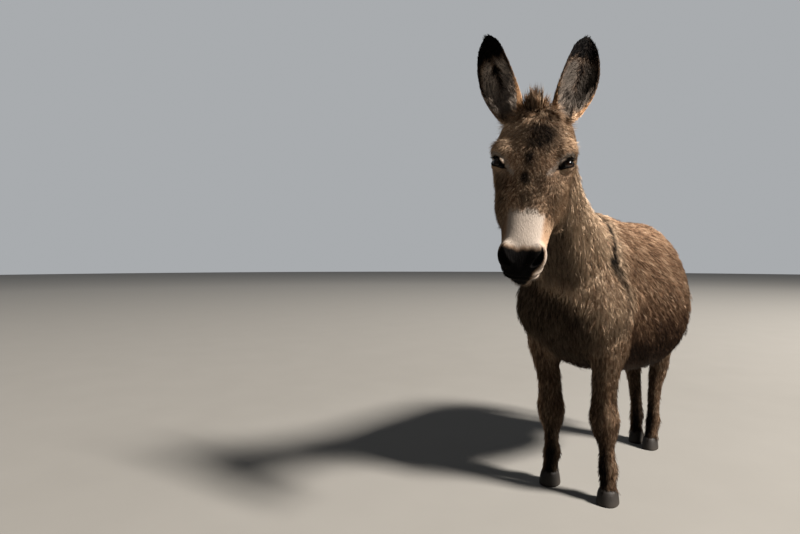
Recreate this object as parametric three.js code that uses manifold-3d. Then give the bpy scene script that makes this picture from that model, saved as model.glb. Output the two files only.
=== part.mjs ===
// A standing donkey at life size, in millimetres: +Z up, nose towards -Y, its left side towards +X.
// The surfaces are the outside of its coat. Each part of the body is a loft through a few sections,
// and neighbours are cut to each other with a thin gap, so that every named part is its own solid.
import * as THREE from "three";
import { mergeVertices } from "three/addons/utils/BufferGeometryUtils.js";
import Module from "manifold-3d";

const wasm = await Module();
wasm.setup();

// ---- Driving dimensions ----
const GAP = 0.4; // between neighbouring parts
const BOX_CENTRE = [0, -198.3]; // x and y of the middle of the whole model, as drawn below
const POLL = [108, -812, 1338]; // top of the head, between the ears
const HEAD_TURN = 27; // degrees, the face turned to the donkey's left
const HEAD_TILT = 21; // degrees, the muzzle forward of hanging straight down
const HEAD_LEAN = 5; // degrees, the muzzle swung to the donkey's right
const EYE = { side: 92, down: 181, out: -22, radius: 21 };
const EAR = { side: 64, down: 30, out: -34, length: 274, wall: 11 };
const RING_CROWDING = 0.7; // how much a loft's rings crowd towards its ends, 0 to 1

// ---- Surfaces ----

// The value at v, from 0 to 1, of a smooth curve through evenly spaced rows of numbers.
function through(rows, v) {
  const at = v * (rows.length - 1);
  const i = Math.min(Math.floor(at), rows.length - 2);
  const f = at - i;
  const a = rows[Math.max(i - 1, 0)];
  const b = rows[i];
  const c = rows[i + 1];
  const d = rows[Math.min(i + 2, rows.length - 1)];
  return b.map((_, n) => {
    const slope = (c[n] - a[n]) / 2;
    const next = (d[n] - b[n]) / 2;
    const rise = c[n] - b[n];
    return b[n] + f * (slope + f * (3 * rise - 2 * slope - next + f * (slope + next - 2 * rise)));
  });
}

// A closed surface from a sphere's net: place(v, angle) gives the point at v along and angle around.
function closed(rings, around, place) {
  const net = new THREE.SphereGeometry(1, around, rings);
  net.deleteAttribute("normal");
  net.deleteAttribute("uv");
  const spots = net.getAttribute("position");
  for (let j = 0; j <= rings; j++) {
    const t = j / rings;
    const v = t - (RING_CROWDING * Math.sin(2 * Math.PI * t)) / (2 * Math.PI);
    for (let i = 0; i <= around; i++) {
      const p = place(v, (2 * Math.PI * (i % around)) / around);
      spots.setXYZ(j * (around + 1) + i, p.x, p.y, p.z);
    }
  }
  return solid(net);
}

// A manifold solid of a closed geometry, turned the right way out.
function solid(geometry) {
  const merged = mergeVertices(geometry, 1e-3);
  const index = merged.index.array;
  const kept = [];
  for (let i = 0; i < index.length; i += 3) {
    const [a, b, c] = [index[i], index[i + 1], index[i + 2]];
    if (a !== b && b !== c && c !== a) kept.push(a, b, c);
  }
  const build = (triVerts) =>
    new wasm.Manifold(
      new wasm.Mesh({ numProp: 3, vertProperties: merged.attributes.position.array, triVerts }),
    );
  const made = build(new Uint32Array(kept));
  return made.volume() > 0 ? made : build(new Uint32Array(kept.reverse()));
}

// How far a rounded end has opened at v: 0 at the pole, 1 from c inwards.
const opened = (v, c) => (v >= c ? 1 : Math.sqrt(Math.max(0, 1 - (1 - v / c) ** 2)));

// A loft through sections. Each is { top, low, side, half, widest, upper, lower }: its top and low points,
// the direction and half of its width, how far up it is widest, and how square each half is (2 is round).
function loft(sections, { rings, around, start = 0.1, end = 0.1, grow = 0 }) {
  const rows = sections.map((s) => [
    ...s.top,
    ...s.low,
    ...s.side,
    s.half,
    s.widest ?? 0.5,
    s.upper ?? 2,
    s.lower ?? 2,
  ]);
  const top = new THREE.Vector3();
  const low = new THREE.Vector3();
  const side = new THREE.Vector3();
  return closed(rings, around, (v, angle) => {
    const row = through(rows, v);
    top.fromArray(row, 0);
    low.fromArray(row, 3);
    side.fromArray(row, 6).normalize();
    const [half, widest, upper, lower] = row.slice(9);
    const up = top.clone().sub(low);
    const height = up.length();
    up.divideScalar(height);
    const size = opened(v, start) * opened(1 - v, end);
    const c = Math.cos(angle);
    const s = Math.sin(angle);
    const power = 2 / (s >= 0 ? upper : lower);
    const reach = (s >= 0 ? (1 - widest) * height : widest * height) + grow;
    return low
      .clone()
      .addScaledVector(up, widest * height)
      .addScaledVector(side, Math.sign(c) * Math.abs(c) ** power * (half + grow) * size)
      .addScaledVector(up, Math.sign(s) * Math.abs(s) ** power * reach * size);
  });
}

// An ellipsoid with its middle at centre and these half sizes, tilted about X by degrees.
function ball(centre, halves, tilt = 0, grow = 0) {
  const size = new THREE.Vector3(...halves).addScalar(grow);
  const turn = new THREE.Matrix4().makeRotationX(THREE.MathUtils.degToRad(tilt));
  const g = new THREE.SphereGeometry(1, 12, 8).scale(size.x, size.y, size.z);
  g.applyMatrix4(turn).translate(...centre);
  g.deleteAttribute("normal");
  g.deleteAttribute("uv");
  return solid(g);
}

const SIDE = [1, 0, 0];
const joined = (solids) => solids.reduce((whole, next) => whole.add(next));
const cut = (body, tools) => tools.reduce((left, tool) => left.subtract(tool), body);
const largest = (body) => body.decompose().sort((a, b) => b.volume() - a.volume())[0];

// ---- Trunk: sections across the body, [y, top, low, half width] ----
const TRUNK = [
  [-486, 830, 660, 110],
  [-454, 905, 590, 176],
  [-385, 985, 524, 226],
  [-290, 1066, 472, 222],
  [-180, 1094, 450, 216],
  [-60, 1074, 430, 244],
  [80, 1066, 412, 268],
  [200, 1070, 422, 262],
  [305, 1072, 478, 232],
  [395, 1056, 560, 190],
  [470, 1004, 650, 150],
  [522, 930, 735, 100],
];
const trunkSections = TRUNK.map(([y, top, low, half]) => ({
  top: [0, y, top],
  low: [0, y, low],
  side: SIDE,
  half,
  widest: 0.42,
  upper: 1.75,
  lower: 2.2,
}));
// A shoulder and a thigh stand out from the barrel on each side.
function trunk(grow = 0) {
  const muscles = [-1, 1].flatMap((s) => [
    ball([s * 124, -300, 740], [98, 116, 240], -14, grow),
    ball([s * 84, 366, 740], [106, 142, 230], -10, grow),
  ]);
  return joined([
    loft(trunkSections, { rings: 20, around: 24, start: 0.12, end: 0.1, grow }),
    ...muscles,
  ]);
}

// ---- Neck: sections across its run, [crest y, crest z, throat y, throat z, half width, x, turn] ----
const NECK = [
  [-160, 960, -370, 620, 150, 0, 0],
  [-264, 1056, -440, 700, 152, 4, 2],
  [-372, 1118, -518, 796, 132, 16, 6],
  [-490, 1168, -588, 884, 109, 38, 12],
  [-610, 1236, -652, 966, 97, 64, 18],
  [-714, 1304, -706, 1046, 91, 88, 24],
  [-772, 1338, -742, 1120, 80, 100, 27],
];
const neckSections = NECK.map(([crestY, crestZ, throatY, throatZ, half, x, turn]) => {
  const a = THREE.MathUtils.degToRad(turn);
  const lean = (throatY - crestY) / 2;
  const middle = (crestY + throatY) / 2;
  return {
    top: [x + lean * Math.sin(a), middle - lean * Math.cos(a), crestZ],
    low: [x - lean * Math.sin(a), middle + lean * Math.cos(a), throatZ],
    side: [Math.cos(a), Math.sin(a), 0],
    half,
    widest: 0.46,
    upper: 1.75,
    lower: 1.9,
  };
});
const neck = (grow = 0) =>
  loft(neckSections, { rings: 13, around: 18, start: 0.08, end: 0.1, grow });

// ---- Head, in its own frame: poll at the origin, face down -Z and looking towards -Y ----
const headFrame = new THREE.Matrix4()
  .makeTranslation(...POLL)
  .multiply(new THREE.Matrix4().makeRotationZ(THREE.MathUtils.degToRad(HEAD_TURN)))
  .multiply(new THREE.Matrix4().makeRotationX(THREE.MathUtils.degToRad(-HEAD_TILT)))
  .multiply(new THREE.Matrix4().makeRotationY(THREE.MathUtils.degToRad(HEAD_LEAN)));

// Sections across the head: [down, front, back, half width, how far forward it is widest].
const HEAD = [
  [-40, -30, -112, 66, 0.5],
  [12, 4, -158, 100, 0.55],
  [68, 20, -192, 119, 0.6],
  [124, 24, -218, 127, 0.64],
  [176, 20, -230, 124, 0.68],
  [226, 10, -222, 112, 0.66],
  [276, -2, -192, 99, 0.56],
  [328, -10, -164, 87, 0.5],
  [380, -14, -144, 76, 0.5],
  [424, -18, -136, 71, 0.52],
  [462, -28, -132, 69, 0.52],
  [496, -44, -122, 57, 0.5],
  [512, -56, -112, 44, 0.5],
];
const headSections = HEAD.map(([down, front, back, half, widest]) => ({
  top: [0, -front, -down],
  low: [0, -back, -down],
  side: SIDE,
  half,
  widest,
  upper: 2.25,
  lower: 1.85,
}));
// Soft forms of the head: middle on the left side, half sizes, tilt in degrees.
const BROW = { at: [90, 14, -134], halves: [42, 38, 44], tilt: 0 };
const CHEEK = { at: [72, 138, -222], halves: [42, 88, 108], tilt: 16 };
const NOSTRIL_WING = { at: [40, 54, -446], halves: [32, 31, 42], tilt: 10 };
const CHIN = { at: [0, 108, -486], halves: [40, 34, 34] };
// Hollows: the opening between the lids, outwards and forwards of the eyeball, and the nostril.
const LIDS = { outwards: 22, forwards: 12, halves: [26, 26, 16] };
const NOSTRIL = { at: [50, 34, -458], halves: [11, 13, 19] };
const sided = (s, { at: [x, y, z], halves, tilt }, grow) => ball([s * x, y, z], halves, tilt, grow);

function headOutside(grow = 0) {
  const pairs = [-1, 1].flatMap((s) =>
    [BROW, CHEEK, NOSTRIL_WING].map((form) => sided(s, form, grow)),
  );
  return joined([
    loft(headSections, { rings: 17, around: 16, start: 0.1, end: 0.07, grow }),
    sided(1, CHIN, grow),
    ...pairs,
  ]);
}
const eyeball = (s, grow = 0) =>
  ball([s * EYE.side, -EYE.out, -EYE.down], Array(3).fill(EYE.radius), 0, grow);
const headHollows = () =>
  [-1, 1].flatMap((s) => [
    ball([s * (EYE.side + LIDS.outwards), -EYE.out - LIDS.forwards, -EYE.down], LIDS.halves),
    eyeball(s, GAP),
    sided(s, NOSTRIL, 0),
  ]);
const head = (grow = 0) => headOutside(grow).transform(headFrame.toArray());

// ---- Ears: a cupped leaf, its wall curled round the opening ----
// Sections up the ear: [width, depth, half angle of the wall in degrees, how far it bows outwards].
const EAR_LEAF = [
  [66, 44, 150, 0],
  [95, 46, 128, 8],
  [112, 43, 112, 14],
  [119, 38, 103, 18],
  [117, 32, 96, 19],
  [106, 25, 90, 17],
  [84, 17, 86, 12],
  [50, 10, 82, 6],
];
const EAR_AROUND = 14;
// The leaf stands on its base, opening towards -Y, with its tip up +Z.
function earLeaf(s, grow = 0) {
  const wall = EAR.wall + grow;
  return closed(11, EAR_AROUND, (v, angle) => {
    const [width, depth, spread, bow] = through(EAR_LEAF, v);
    const round = angle / Math.PI;
    const outer = round < 1;
    const a = THREE.MathUtils.degToRad(spread) * (outer ? 2 * round - 1 : 3 - 2 * round) * 0.999;
    const inset = outer ? -grow : wall;
    const size = opened(v, 0.05) * opened(1 - v, 0.12);
    const x = (width / 2 - inset) * Math.sin(a);
    const y = (depth - inset) * Math.cos(a);
    const middle = depth - wall / 2;
    return new THREE.Vector3(x * size + s * bow, middle + (y - middle) * size, EAR.length * v);
  });
}
// Each ear leans out by lean, is swung back by sweep and turned to face forwards by turn, in degrees.
const EAR_POSE = {
  left: { lean: 11, sweep: -8, turn: 18 },
  right: { lean: 24, sweep: 8, turn: 26 },
};
function ear(name, grow = 0) {
  const s = name === "left" ? 1 : -1;
  const { lean, sweep, turn } = EAR_POSE[name];
  const rad = THREE.MathUtils.degToRad;
  const place = new THREE.Matrix4()
    .makeTranslation(s * EAR.side, -EAR.out, -EAR.down)
    .multiply(new THREE.Matrix4().makeRotationY(rad(s * lean)))
    .multiply(new THREE.Matrix4().makeRotationX(rad(sweep + HEAD_TILT)))
    .multiply(new THREE.Matrix4().makeRotationZ(rad(s * turn)));
  return earLeaf(s, grow).transform(headFrame.clone().multiply(place).toArray());
}

// ---- Legs: sections across each, [z, front y, back y, half width, x] ----
const FORE = [
  [640, -420, -215, 84, 124],
  [560, -416, -236, 76, 124],
  [490, -404, -268, 58, 118],
  [420, -393, -278, 52, 111],
  [360, -391, -278, 55, 108],
  [312, -395, -274, 63, 108],
  [262, -384, -276, 56, 109],
  [215, -367, -287, 42, 111],
  [165, -362, -287, 39, 113],
  [122, -368, -277, 45, 115],
  [88, -369, -289, 40, 117],
  [58, -374, -294, 38, 119],
  [40, -376, -296, 37, 119],
];
const HIND = [
  [690, 232, 480, 88, 104],
  [600, 244, 470, 78, 104],
  [520, 278, 456, 58, 95],
  [455, 317, 460, 48, 82],
  [405, 345, 477, 47, 71],
  [355, 356, 471, 47, 62],
  [300, 361, 450, 40, 54],
  [220, 364, 443, 37, 48],
  [165, 365, 445, 37, 46],
  [122, 358, 451, 42, 46],
  [88, 349, 433, 37, 44],
  [58, 344, 426, 36, 42],
  [40, 342, 422, 33, 40],
];
const HOOF_TOP = 50;
// Sections of a hoof: [z, toe forward, heel back, wider than the foot above by].
const HOOF = [
  [HOOF_TOP + 4, 0, 0, -1],
  [HOOF_TOP - 12, -2, 1, 1],
  [20, -8, 3, 3],
  [-12, -12, 5, 4],
];
// How far each hoof stands from the table above: [back, out].
const LEGS = {
  fore_left: { rows: FORE, side: 1, back: [20, 2], knee: 350 },
  fore_right: { rows: FORE, side: -1, back: [34, -4], knee: 350 },
  hind_left: { rows: HIND, side: 1, back: [0, 0], knee: 420 },
  hind_right: { rows: HIND, side: -1, back: [56, 0], knee: 420 },
};
// A leg swings from its top: the lower a section, the more of the leg's shift it takes.
function legSections({ rows, side, back }) {
  const top = rows[0][0];
  return rows.map(([z, front, rear, half, x]) => {
    const share = (top - z) / top;
    return {
      top: [side * (x + back[1] * share), front + back[0] * share, z],
      low: [side * (x + back[1] * share), rear + back[0] * share, z],
      side: SIDE,
      half,
      widest: 0.5,
      upper: 2.1,
      lower: 2.1,
    };
  });
}
const leg = (which, grow = 0) =>
  loft(legSections(which), { rings: 18, around: 12, start: 0.05, end: 0.015, grow });

function hoof(which) {
  const foot = legSections(which).at(-1);
  const rows = HOOF.map(([z, toe, heel, flare]) => ({
    ...foot,
    top: [foot.top[0], foot.top[1] + toe, z],
    low: [foot.low[0], foot.low[1] + heel, z],
    half: foot.half + flare,
    upper: 2.3,
    lower: 2.6,
  }));
  const whole = loft(rows, { rings: 5, around: 14, start: 0.03, end: 0.2 });
  return whole.trimByPlane([0, 0, 1], 0).trimByPlane([0, 0, -1], -(HOOF_TOP - GAP));
}

// ---- Mane: a low upright ridge from between the ears to the withers, [y, z, x, height, half width] ----
const MANE = [
  [-200, 1056, 0, 30, 16],
  [-320, 1084, 8, 46, 18],
  [-460, 1140, 30, 58, 20],
  [-590, 1212, 54, 66, 22],
  [-710, 1294, 80, 74, 24],
  [-796, 1348, 92, 76, 28],
  [-840, 1350, 108, 50, 26],
];
const maneSections = MANE.map(([y, z, x, height, half]) => ({
  top: [x, y, z + height],
  low: [x, y, z - 10],
  side: SIDE,
  half,
  upper: 1.6,
  lower: 2,
}));
const mane = () => loft(maneSections, { rings: 12, around: 8, start: 0.1, end: 0.1 });

// ---- Tail: the dock hangs from the croup, and its end carries a tuft, [z, front y, back y, half width] ----
const DOCK = [
  [992, 462, 506, 26],
  [948, 496, 548, 26],
  [870, 526, 574, 23],
  [760, 538, 576, 20],
  [650, 530, 562, 17],
  [560, 522, 552, 16],
];
const TUFT = [
  [575, 512, 564, 24],
  [520, 508, 570, 30],
  [450, 508, 574, 34],
  [380, 510, 568, 30],
  [315, 524, 554, 14],
];
const hanging = (rows) =>
  rows.map(([z, front, rear, half]) => ({
    top: [0, front, z],
    low: [0, rear, z],
    side: SIDE,
    half,
  }));
const dock = (grow = 0) => loft(hanging(DOCK), { rings: 10, around: 8, grow });
const tuft = () => loft(hanging(TUFT), { rings: 8, around: 8, start: 0.15, end: 0.3 });

// ---- Materials ----
const finish = (color, roughness) =>
  new THREE.MeshStandardMaterial({ color, roughness, metalness: 0 });
const COAT = finish("#6d5340", 0.95);
const DARK_HAIR = finish("#2c211c", 0.95);
const HORN = finish("#2a2622", 0.6);
const WET_EYE = finish("#120c09", 0.08);
const SKIN_MUZZLE = finish("#c9bfb3", 0.9);

// ---- The whole donkey ----
const donkey = new THREE.Group();

function add(name, body, material) {
  const { numProp, vertProperties, triVerts } = largest(body).getMesh();
  const spots = new Float32Array((vertProperties.length / numProp) * 3);
  for (let i = 0; i < spots.length / 3; i++) {
    spots.set(vertProperties.subarray(i * numProp, i * numProp + 3), i * 3);
  }
  const geometry = new THREE.BufferGeometry();
  geometry.setAttribute("position", new THREE.BufferAttribute(spots, 3));
  geometry.setIndex(new THREE.BufferAttribute(new Uint32Array(triVerts), 1));
  const mesh = new THREE.Mesh(geometry, material);
  mesh.name = name;
  donkey.add(mesh);
}

const fullTrunk = trunk(GAP);
const fullHead = head(GAP);
add("trunk", trunk(), COAT);
add("neck", cut(neck(), [fullTrunk, fullHead]), COAT);

const wholeHead = cut(headOutside(), headHollows()).transform(headFrame.toArray());
// The muzzle starts where the face narrows, at this share of the way down.
const MUZZLE_FROM = 300;
const down = new THREE.Vector3(0, 0, -1).transformDirection(headFrame);
const start = down.dot(new THREE.Vector3(0, 0, -MUZZLE_FROM).applyMatrix4(headFrame));
add("head", wholeHead.trimByPlane(down.clone().negate().toArray(), -start), COAT);
add("muzzle", wholeHead.trimByPlane(down.toArray(), start + GAP), SKIN_MUZZLE);

for (const [name, s] of [["left", 1], ["right", -1]]) {
  add(`eye_${name}`, eyeball(s).transform(headFrame.toArray()), WET_EYE);
  add(`ear_${name}`, cut(ear(name), [fullHead]), COAT);
}
const ears = ["left", "right"].map((name) => ear(name, GAP));
add("mane", cut(mane(), [neck(GAP), fullHead, fullTrunk, ...ears]), DARK_HAIR);

for (const [name, which] of Object.entries(LEGS)) {
  const limb = cut(leg(which), [fullTrunk]).trimByPlane([0, 0, 1], HOOF_TOP);
  add(`${name}_upper`, limb.trimByPlane([0, 0, 1], which.knee), COAT);
  add(`${name}_lower`, limb.trimByPlane([0, 0, -1], -(which.knee - GAP)), COAT);
  add(`${name}_hoof`, hoof(which), HORN);
}
add("tail", cut(dock(), [fullTrunk]), COAT);
add("tail_tuft", cut(tuft(), [dock(GAP)]), DARK_HAIR);

donkey.position.set(-BOX_CENTRE[0], -BOX_CENTRE[1], 0);

export default donkey;
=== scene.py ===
"""A standing donkey in its shaggy winter coat, at life size.

One skin covers the whole body and ears. Glossy eyes, horn hooves, a coat of solid tufts that follows the lie
of the hair, an upright mane and a tail tuft are pieces of their own.
"""
import bpy
import numpy as np
from mathutils import Matrix


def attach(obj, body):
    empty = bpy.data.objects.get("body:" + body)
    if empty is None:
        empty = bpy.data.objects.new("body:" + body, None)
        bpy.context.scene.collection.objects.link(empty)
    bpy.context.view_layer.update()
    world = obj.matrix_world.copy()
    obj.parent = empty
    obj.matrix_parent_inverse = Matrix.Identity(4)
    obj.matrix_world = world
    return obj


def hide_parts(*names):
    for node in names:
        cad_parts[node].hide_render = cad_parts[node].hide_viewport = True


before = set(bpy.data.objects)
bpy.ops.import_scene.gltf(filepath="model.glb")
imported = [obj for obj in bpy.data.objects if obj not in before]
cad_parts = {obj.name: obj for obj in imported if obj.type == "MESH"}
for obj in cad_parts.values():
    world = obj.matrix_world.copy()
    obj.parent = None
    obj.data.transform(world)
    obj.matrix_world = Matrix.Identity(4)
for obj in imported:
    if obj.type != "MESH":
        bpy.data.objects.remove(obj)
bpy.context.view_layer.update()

# ---- Camera, lights and floor ----
# A plain pale floor under a soft grey studio sky. One large warm light stands on the animal's left, a little
# behind it, and a weak cool one fills from the front.

CAMERA_AT = (0.878, -2.0108, 0.886)
CAMERA_YAW, CAMERA_PITCH = 43.7, -0.7  # degrees: turned to the left from straight along the animal, and down
FRAME_WIDTH, FOCAL_LENGTH = 800, 520  # in pixels of the picture
SENSOR_WIDTH = 36  # mm
KEY_AT, KEY_SIZE, KEY_WATTS = (11.6, 2.0, 11.4), 2.8, 11500
FILL_AT, FILL_SIZE, FILL_WATTS = (-2.6, -4.2, 2.6), 3.2, 3
BACKDROP_TOWARDS = (-0.69, 0.72, 0)  # the sky is bright behind the animal on its right, and dim elsewhere
SKY_DIM, SKY_BRIGHT = 0.075, 0.5
FLOOR_RADIUS, FLOOR_CORNERS = 40, 96  # m


def linear(code):
    """The linear RGBA of an sRGB hex colour."""
    c = np.array([int(code[i:i + 2], 16) for i in (0, 2, 4)]) / 255
    return (*np.where(c <= 0.04045, c / 12.92, ((c + 0.055) / 1.055) ** 2.4), 1.0)


def node(tree, kind, links=(), **settings):
    """Adds one shader node. links is {input: socket or value}; settings are the node's own properties."""
    made = tree.nodes.new(kind)
    for name, value in settings.items():
        setattr(made, name, value)
    for name, value in dict(links).items():
        if isinstance(value, bpy.types.NodeSocket):
            tree.links.new(value, made.inputs[name])
        else:
            made.inputs[name].default_value = value
    return made


def material(name):
    """A new node material: returns it, its tree and its Principled shader."""
    made = bpy.data.materials.new(name)
    made.use_nodes = True
    return made, made.node_tree, made.node_tree.nodes["Principled BSDF"]


camera = bpy.data.objects.new("camera", bpy.data.cameras.new("camera"))
bpy.context.collection.objects.link(camera)
camera.location = CAMERA_AT
camera.rotation_euler = np.radians((90 + CAMERA_PITCH, 0, CAMERA_YAW))
camera.data.sensor_width = SENSOR_WIDTH
camera.data.lens = SENSOR_WIDTH * FOCAL_LENGTH / FRAME_WIDTH
camera.data.clip_start = 0.05
bpy.context.scene.camera = camera


def soft_light(name, at, towards, size, watts, colour):
    """A square area light at one point that faces another."""
    lamp = bpy.data.lights.new(name, "AREA")
    lamp.size, lamp.energy, lamp.color = size, watts, linear(colour)[:3]
    made = bpy.data.objects.new(name, lamp)
    bpy.context.collection.objects.link(made)
    x, y, z = np.array(at, float) - towards
    made.rotation_euler = (np.arctan2(np.hypot(x, y), z), 0, np.arctan2(y, x) + np.pi / 2)
    made.location = at


soft_light("key", KEY_AT, (0, -0.2, 0.8), KEY_SIZE, KEY_WATTS, "fff8ef")
soft_light("fill", FILL_AT, (0, -0.3, 0.8), FILL_SIZE, FILL_WATTS, "efeaff")
sky = bpy.data.worlds.new("studio")
bpy.context.scene.world = sky
sky.use_nodes = True
background = sky.node_tree.nodes["Background"]
direction = node(sky.node_tree, "ShaderNodeTexCoord")
towards = node(sky.node_tree, "ShaderNodeVectorMath", {
    0: direction.outputs["Generated"], 1: BACKDROP_TOWARDS}, operation="DOT_PRODUCT")
backdrop = node(sky.node_tree, "ShaderNodeMapRange", {
    "Value": towards.outputs["Value"], "From Min": 0.2, "From Max": 0.7,
    "To Min": SKY_DIM, "To Max": SKY_BRIGHT})
background.inputs["Color"].default_value = linear("e6eaee")
sky.node_tree.links.new(backdrop.outputs["Result"], background.inputs["Strength"])
bpy.context.scene.view_settings.view_transform = "Standard"

turned = 2 * np.pi * np.arange(FLOOR_CORNERS) / FLOOR_CORNERS
floor_edge = np.stack([FLOOR_RADIUS * np.cos(turned), FLOOR_RADIUS * np.sin(turned), 0 * turned], 1)
floor_mesh = bpy.data.meshes.new("floor")
floor_mesh.from_pydata(floor_edge.tolist(), [], [list(range(FLOOR_CORNERS))])
floor = bpy.data.objects.new("floor", floor_mesh)
bpy.context.collection.objects.link(floor)
paint, tree, shader = material("Pale floor paint")  # matt emulsion, faintly mottled, paler far out
spot = node(tree, "ShaderNodeTexCoord")
mottle = node(tree, "ShaderNodeTexNoise", {"Scale": 3.0, "Detail": 4.0, "Vector": spot.outputs["Object"]})
from_middle = node(tree, "ShaderNodeVectorMath", {0: spot.outputs["Object"]}, operation="LENGTH")
# Painted light: the floor turns paler far out, where less of the key's light falls, so that it looks evenly
# lit.
painted_light_far_out = node(tree, "ShaderNodeMapRange", {
    "Value": from_middle.outputs["Value"], "From Min": 2.0, "From Max": 17.0})
tint = node(tree, "ShaderNodeMix", {
    "Factor": mottle.outputs["Fac"], "A": linear("6c6a66"), "B": linear("72706c")}, data_type="RGBA")
paler = node(tree, "ShaderNodeMix", {"Factor": painted_light_far_out.outputs["Result"], "A": tint.outputs["Result"],
                                     "B": linear("9e9c98")}, data_type="RGBA")
tree.links.new(paler.outputs["Result"], shader.inputs["Base Color"])
shader.inputs["Roughness"].default_value = 0.9
floor_mesh.materials.append(paint)

# ---- Skin ----
# One hide over trunk, neck, head, legs and tail, with the ears growing out of it. It lies under the coat by
# the coat's depth. Each part is a loft through a few sections, and all are melted into one surface.

MM = 0.001
MIDDLE = 198.3  # the tables count y from the shoulder, this far behind the model's middle, in mm
POLL = np.array([108, -812, 1338])  # top of the head, between the ears, in mm
HEAD_TURN, HEAD_TILT, HEAD_LEAN = 27, 21, 5  # degrees

# How deep the coat is over each part of the skin, in mm.
DEPTH = {"trunk": 16, "neck": 15, "head": 8, "leg": 13, "tail": 7, "ear": 3}


def place(rows):
    """Points in mm, counted from the shoulder, as metres in the shared frame."""
    return (np.asarray(rows, float) + (0, MIDDLE, 0)) * MM


def from_shoulder(points):
    """Metres in the shared frame as mm counted from the shoulder: the reverse of place()."""
    return np.asarray(points) / MM - (0, MIDDLE, 0)


def through(rows, v):
    """Values at v, from 0 to 1, of the Catmull-Rom curve through evenly spaced rows of numbers."""
    rows = np.asarray(rows, float)
    at = np.clip(v, 0, 1) * (len(rows) - 1)
    i = np.minimum(at.astype(int), len(rows) - 2)
    f = (at - i)[:, None]
    a, b, c, d = rows[np.maximum(i - 1, 0)], rows[i], rows[i + 1], rows[np.minimum(i + 2, len(rows) - 1)]
    slope, after, rise = (c - a) / 2, (d - b) / 2, c - b
    return b + f * (slope + f * (3 * rise - 2 * slope - after + f * (slope + after - 2 * rise)))


def opened(v, share):
    """How far a round end has opened at v: 0 at the pole, 1 from share inwards, as a quarter circle."""
    return np.sqrt(np.clip(1 - (1 - np.minimum(v / share, 1)) ** 2, 0, 1))


def crowded(rings, much):
    """Places from 0 to 1 for the rings, closer together at both ends: t - much * sin(2 pi t) / (2 pi)."""
    t = np.linspace(0, 1, rings + 1)
    return t - much * np.sin(2 * np.pi * t) / (2 * np.pi)


def signed_power(x, n):
    """The size of x to the power n, with the sign of x."""
    return np.sign(x) * np.abs(x) ** n


def unit(v):
    """Vectors of length 1 that point the way of v: v divided by its length."""
    return v / np.maximum(np.linalg.norm(v, axis=-1, keepdims=True), 1e-12)


def section_axes(row):
    """Each section's low point, unit directions of its width and of its height (low to top), and height."""
    low = row[:, 3:6]
    tall = row[:, 0:3] - low
    height = np.linalg.norm(tall, axis=1, keepdims=True)
    return low, unit(row[:, 6:9]), tall / height, height


def loft(rows, grow=0.0, rings=64, around=56, start=0.1, end=0.1):
    """Points (rings + 1, around, 3) of a closed surface. Each row is the top point, the low point, the
    direction of the width, half of it, how far up it is widest, and the exponents n of its upper and lower
    half. A ring's point at angle a is middle + side * cos(a)^(2/n) * half + up * sin(a)^(2/n) * reach, and
    the rings shrink to a pole at each end."""
    v = crowded(rings, 0.7)
    row = through(rows, v)
    low, side, up, height = section_axes(row)
    half, widest, upper, lower = (row[:, n, None] for n in range(9, 13))
    size = (opened(v, start) * opened(1 - v, end))[:, None]
    a = 2 * np.pi * np.arange(around)[None] / around
    c, s = np.cos(a), np.sin(a)
    power = 2 / np.where(s >= 0, upper, lower)
    reach = np.where(s >= 0, 1 - widest, widest) * height + grow
    across = signed_power(c, power) * (half + grow) * size
    rise = signed_power(s, power) * reach * size
    middle = low + up * widest * height
    return middle[:, None] + side[:, None] * across[..., None] + up[:, None] * rise[..., None]


def sphere(rings, around):
    """Unit directions (rings + 1, around, 3) from the pole +Z to the pole -Z, and their angles from +Z."""
    v = np.pi * np.arange(rings + 1) / rings
    v, a = np.meshgrid(v, 2 * np.pi * np.arange(around) / around, indexing="ij")
    return np.stack([np.sin(v) * np.cos(a), np.sin(v) * np.sin(a), np.cos(v)], -1), v


def ball(centre, halves, tilt, grow):
    """Points of an ellipsoid, a sphere stretched to its half sizes and tilted about X by degrees."""
    p = sphere(24, 32)[0] * (np.array(halves) + grow)
    c, s = np.cos(np.radians(tilt)), np.sin(np.radians(tilt))
    return p @ np.array([[1, 0, 0], [0, c, s], [0, -s, c]]) + centre


def shell(grid):
    """Vertices and triangles of a ringed grid whose first and last ring are poles, with fans at the ends."""
    rings, around = grid.shape[0] - 1, grid.shape[1]
    points = np.concatenate([grid[0, :1], grid[1:-1].reshape(-1, 3), grid[-1, :1]])
    i, j = np.meshgrid(np.arange(rings - 2), np.arange(around), indexing="ij")
    k = (j + 1) % around
    ring = 1 + i * around
    quads = np.stack([ring + j, ring + k, ring + around + k, ring + around + j], -1).reshape(-1, 4)
    j, k = np.arange(around), (np.arange(around) + 1) % around
    first = np.stack([np.zeros_like(j), 1 + k, 1 + j], -1)
    base = 1 + (rings - 2) * around
    last = np.stack([np.full_like(j, len(points) - 1), base + j, base + k], -1)
    triangles = np.concatenate([first, quads[:, [0, 1, 2]], quads[:, [0, 2, 3]], last])
    a, b, c = (points[triangles[:, n]] for n in range(3))
    if np.einsum("ij,ij->", a, np.cross(b, c)) < 0:
        triangles = triangles[:, ::-1]
    return points, triangles


def mesh_object(name, points, triangles):
    """A smooth-shaded mesh object of triangles, filled from whole arrays."""
    mesh = bpy.data.meshes.new(name)
    mesh.vertices.add(len(points))
    mesh.vertices.foreach_set("co", np.ascontiguousarray(points, np.float32).ravel())
    mesh.loops.add(triangles.size)
    mesh.loops.foreach_set("vertex_index", np.ascontiguousarray(triangles, np.int32).ravel())
    mesh.polygons.add(len(triangles))
    mesh.polygons.foreach_set("loop_start", np.arange(0, triangles.size, 3, dtype=np.int32))
    mesh.polygons.foreach_set("use_smooth", np.full(len(triangles), True))
    mesh.update(calc_edges=True)
    made = bpy.data.objects.new(name, mesh)
    bpy.context.collection.objects.link(made)
    return made


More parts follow.
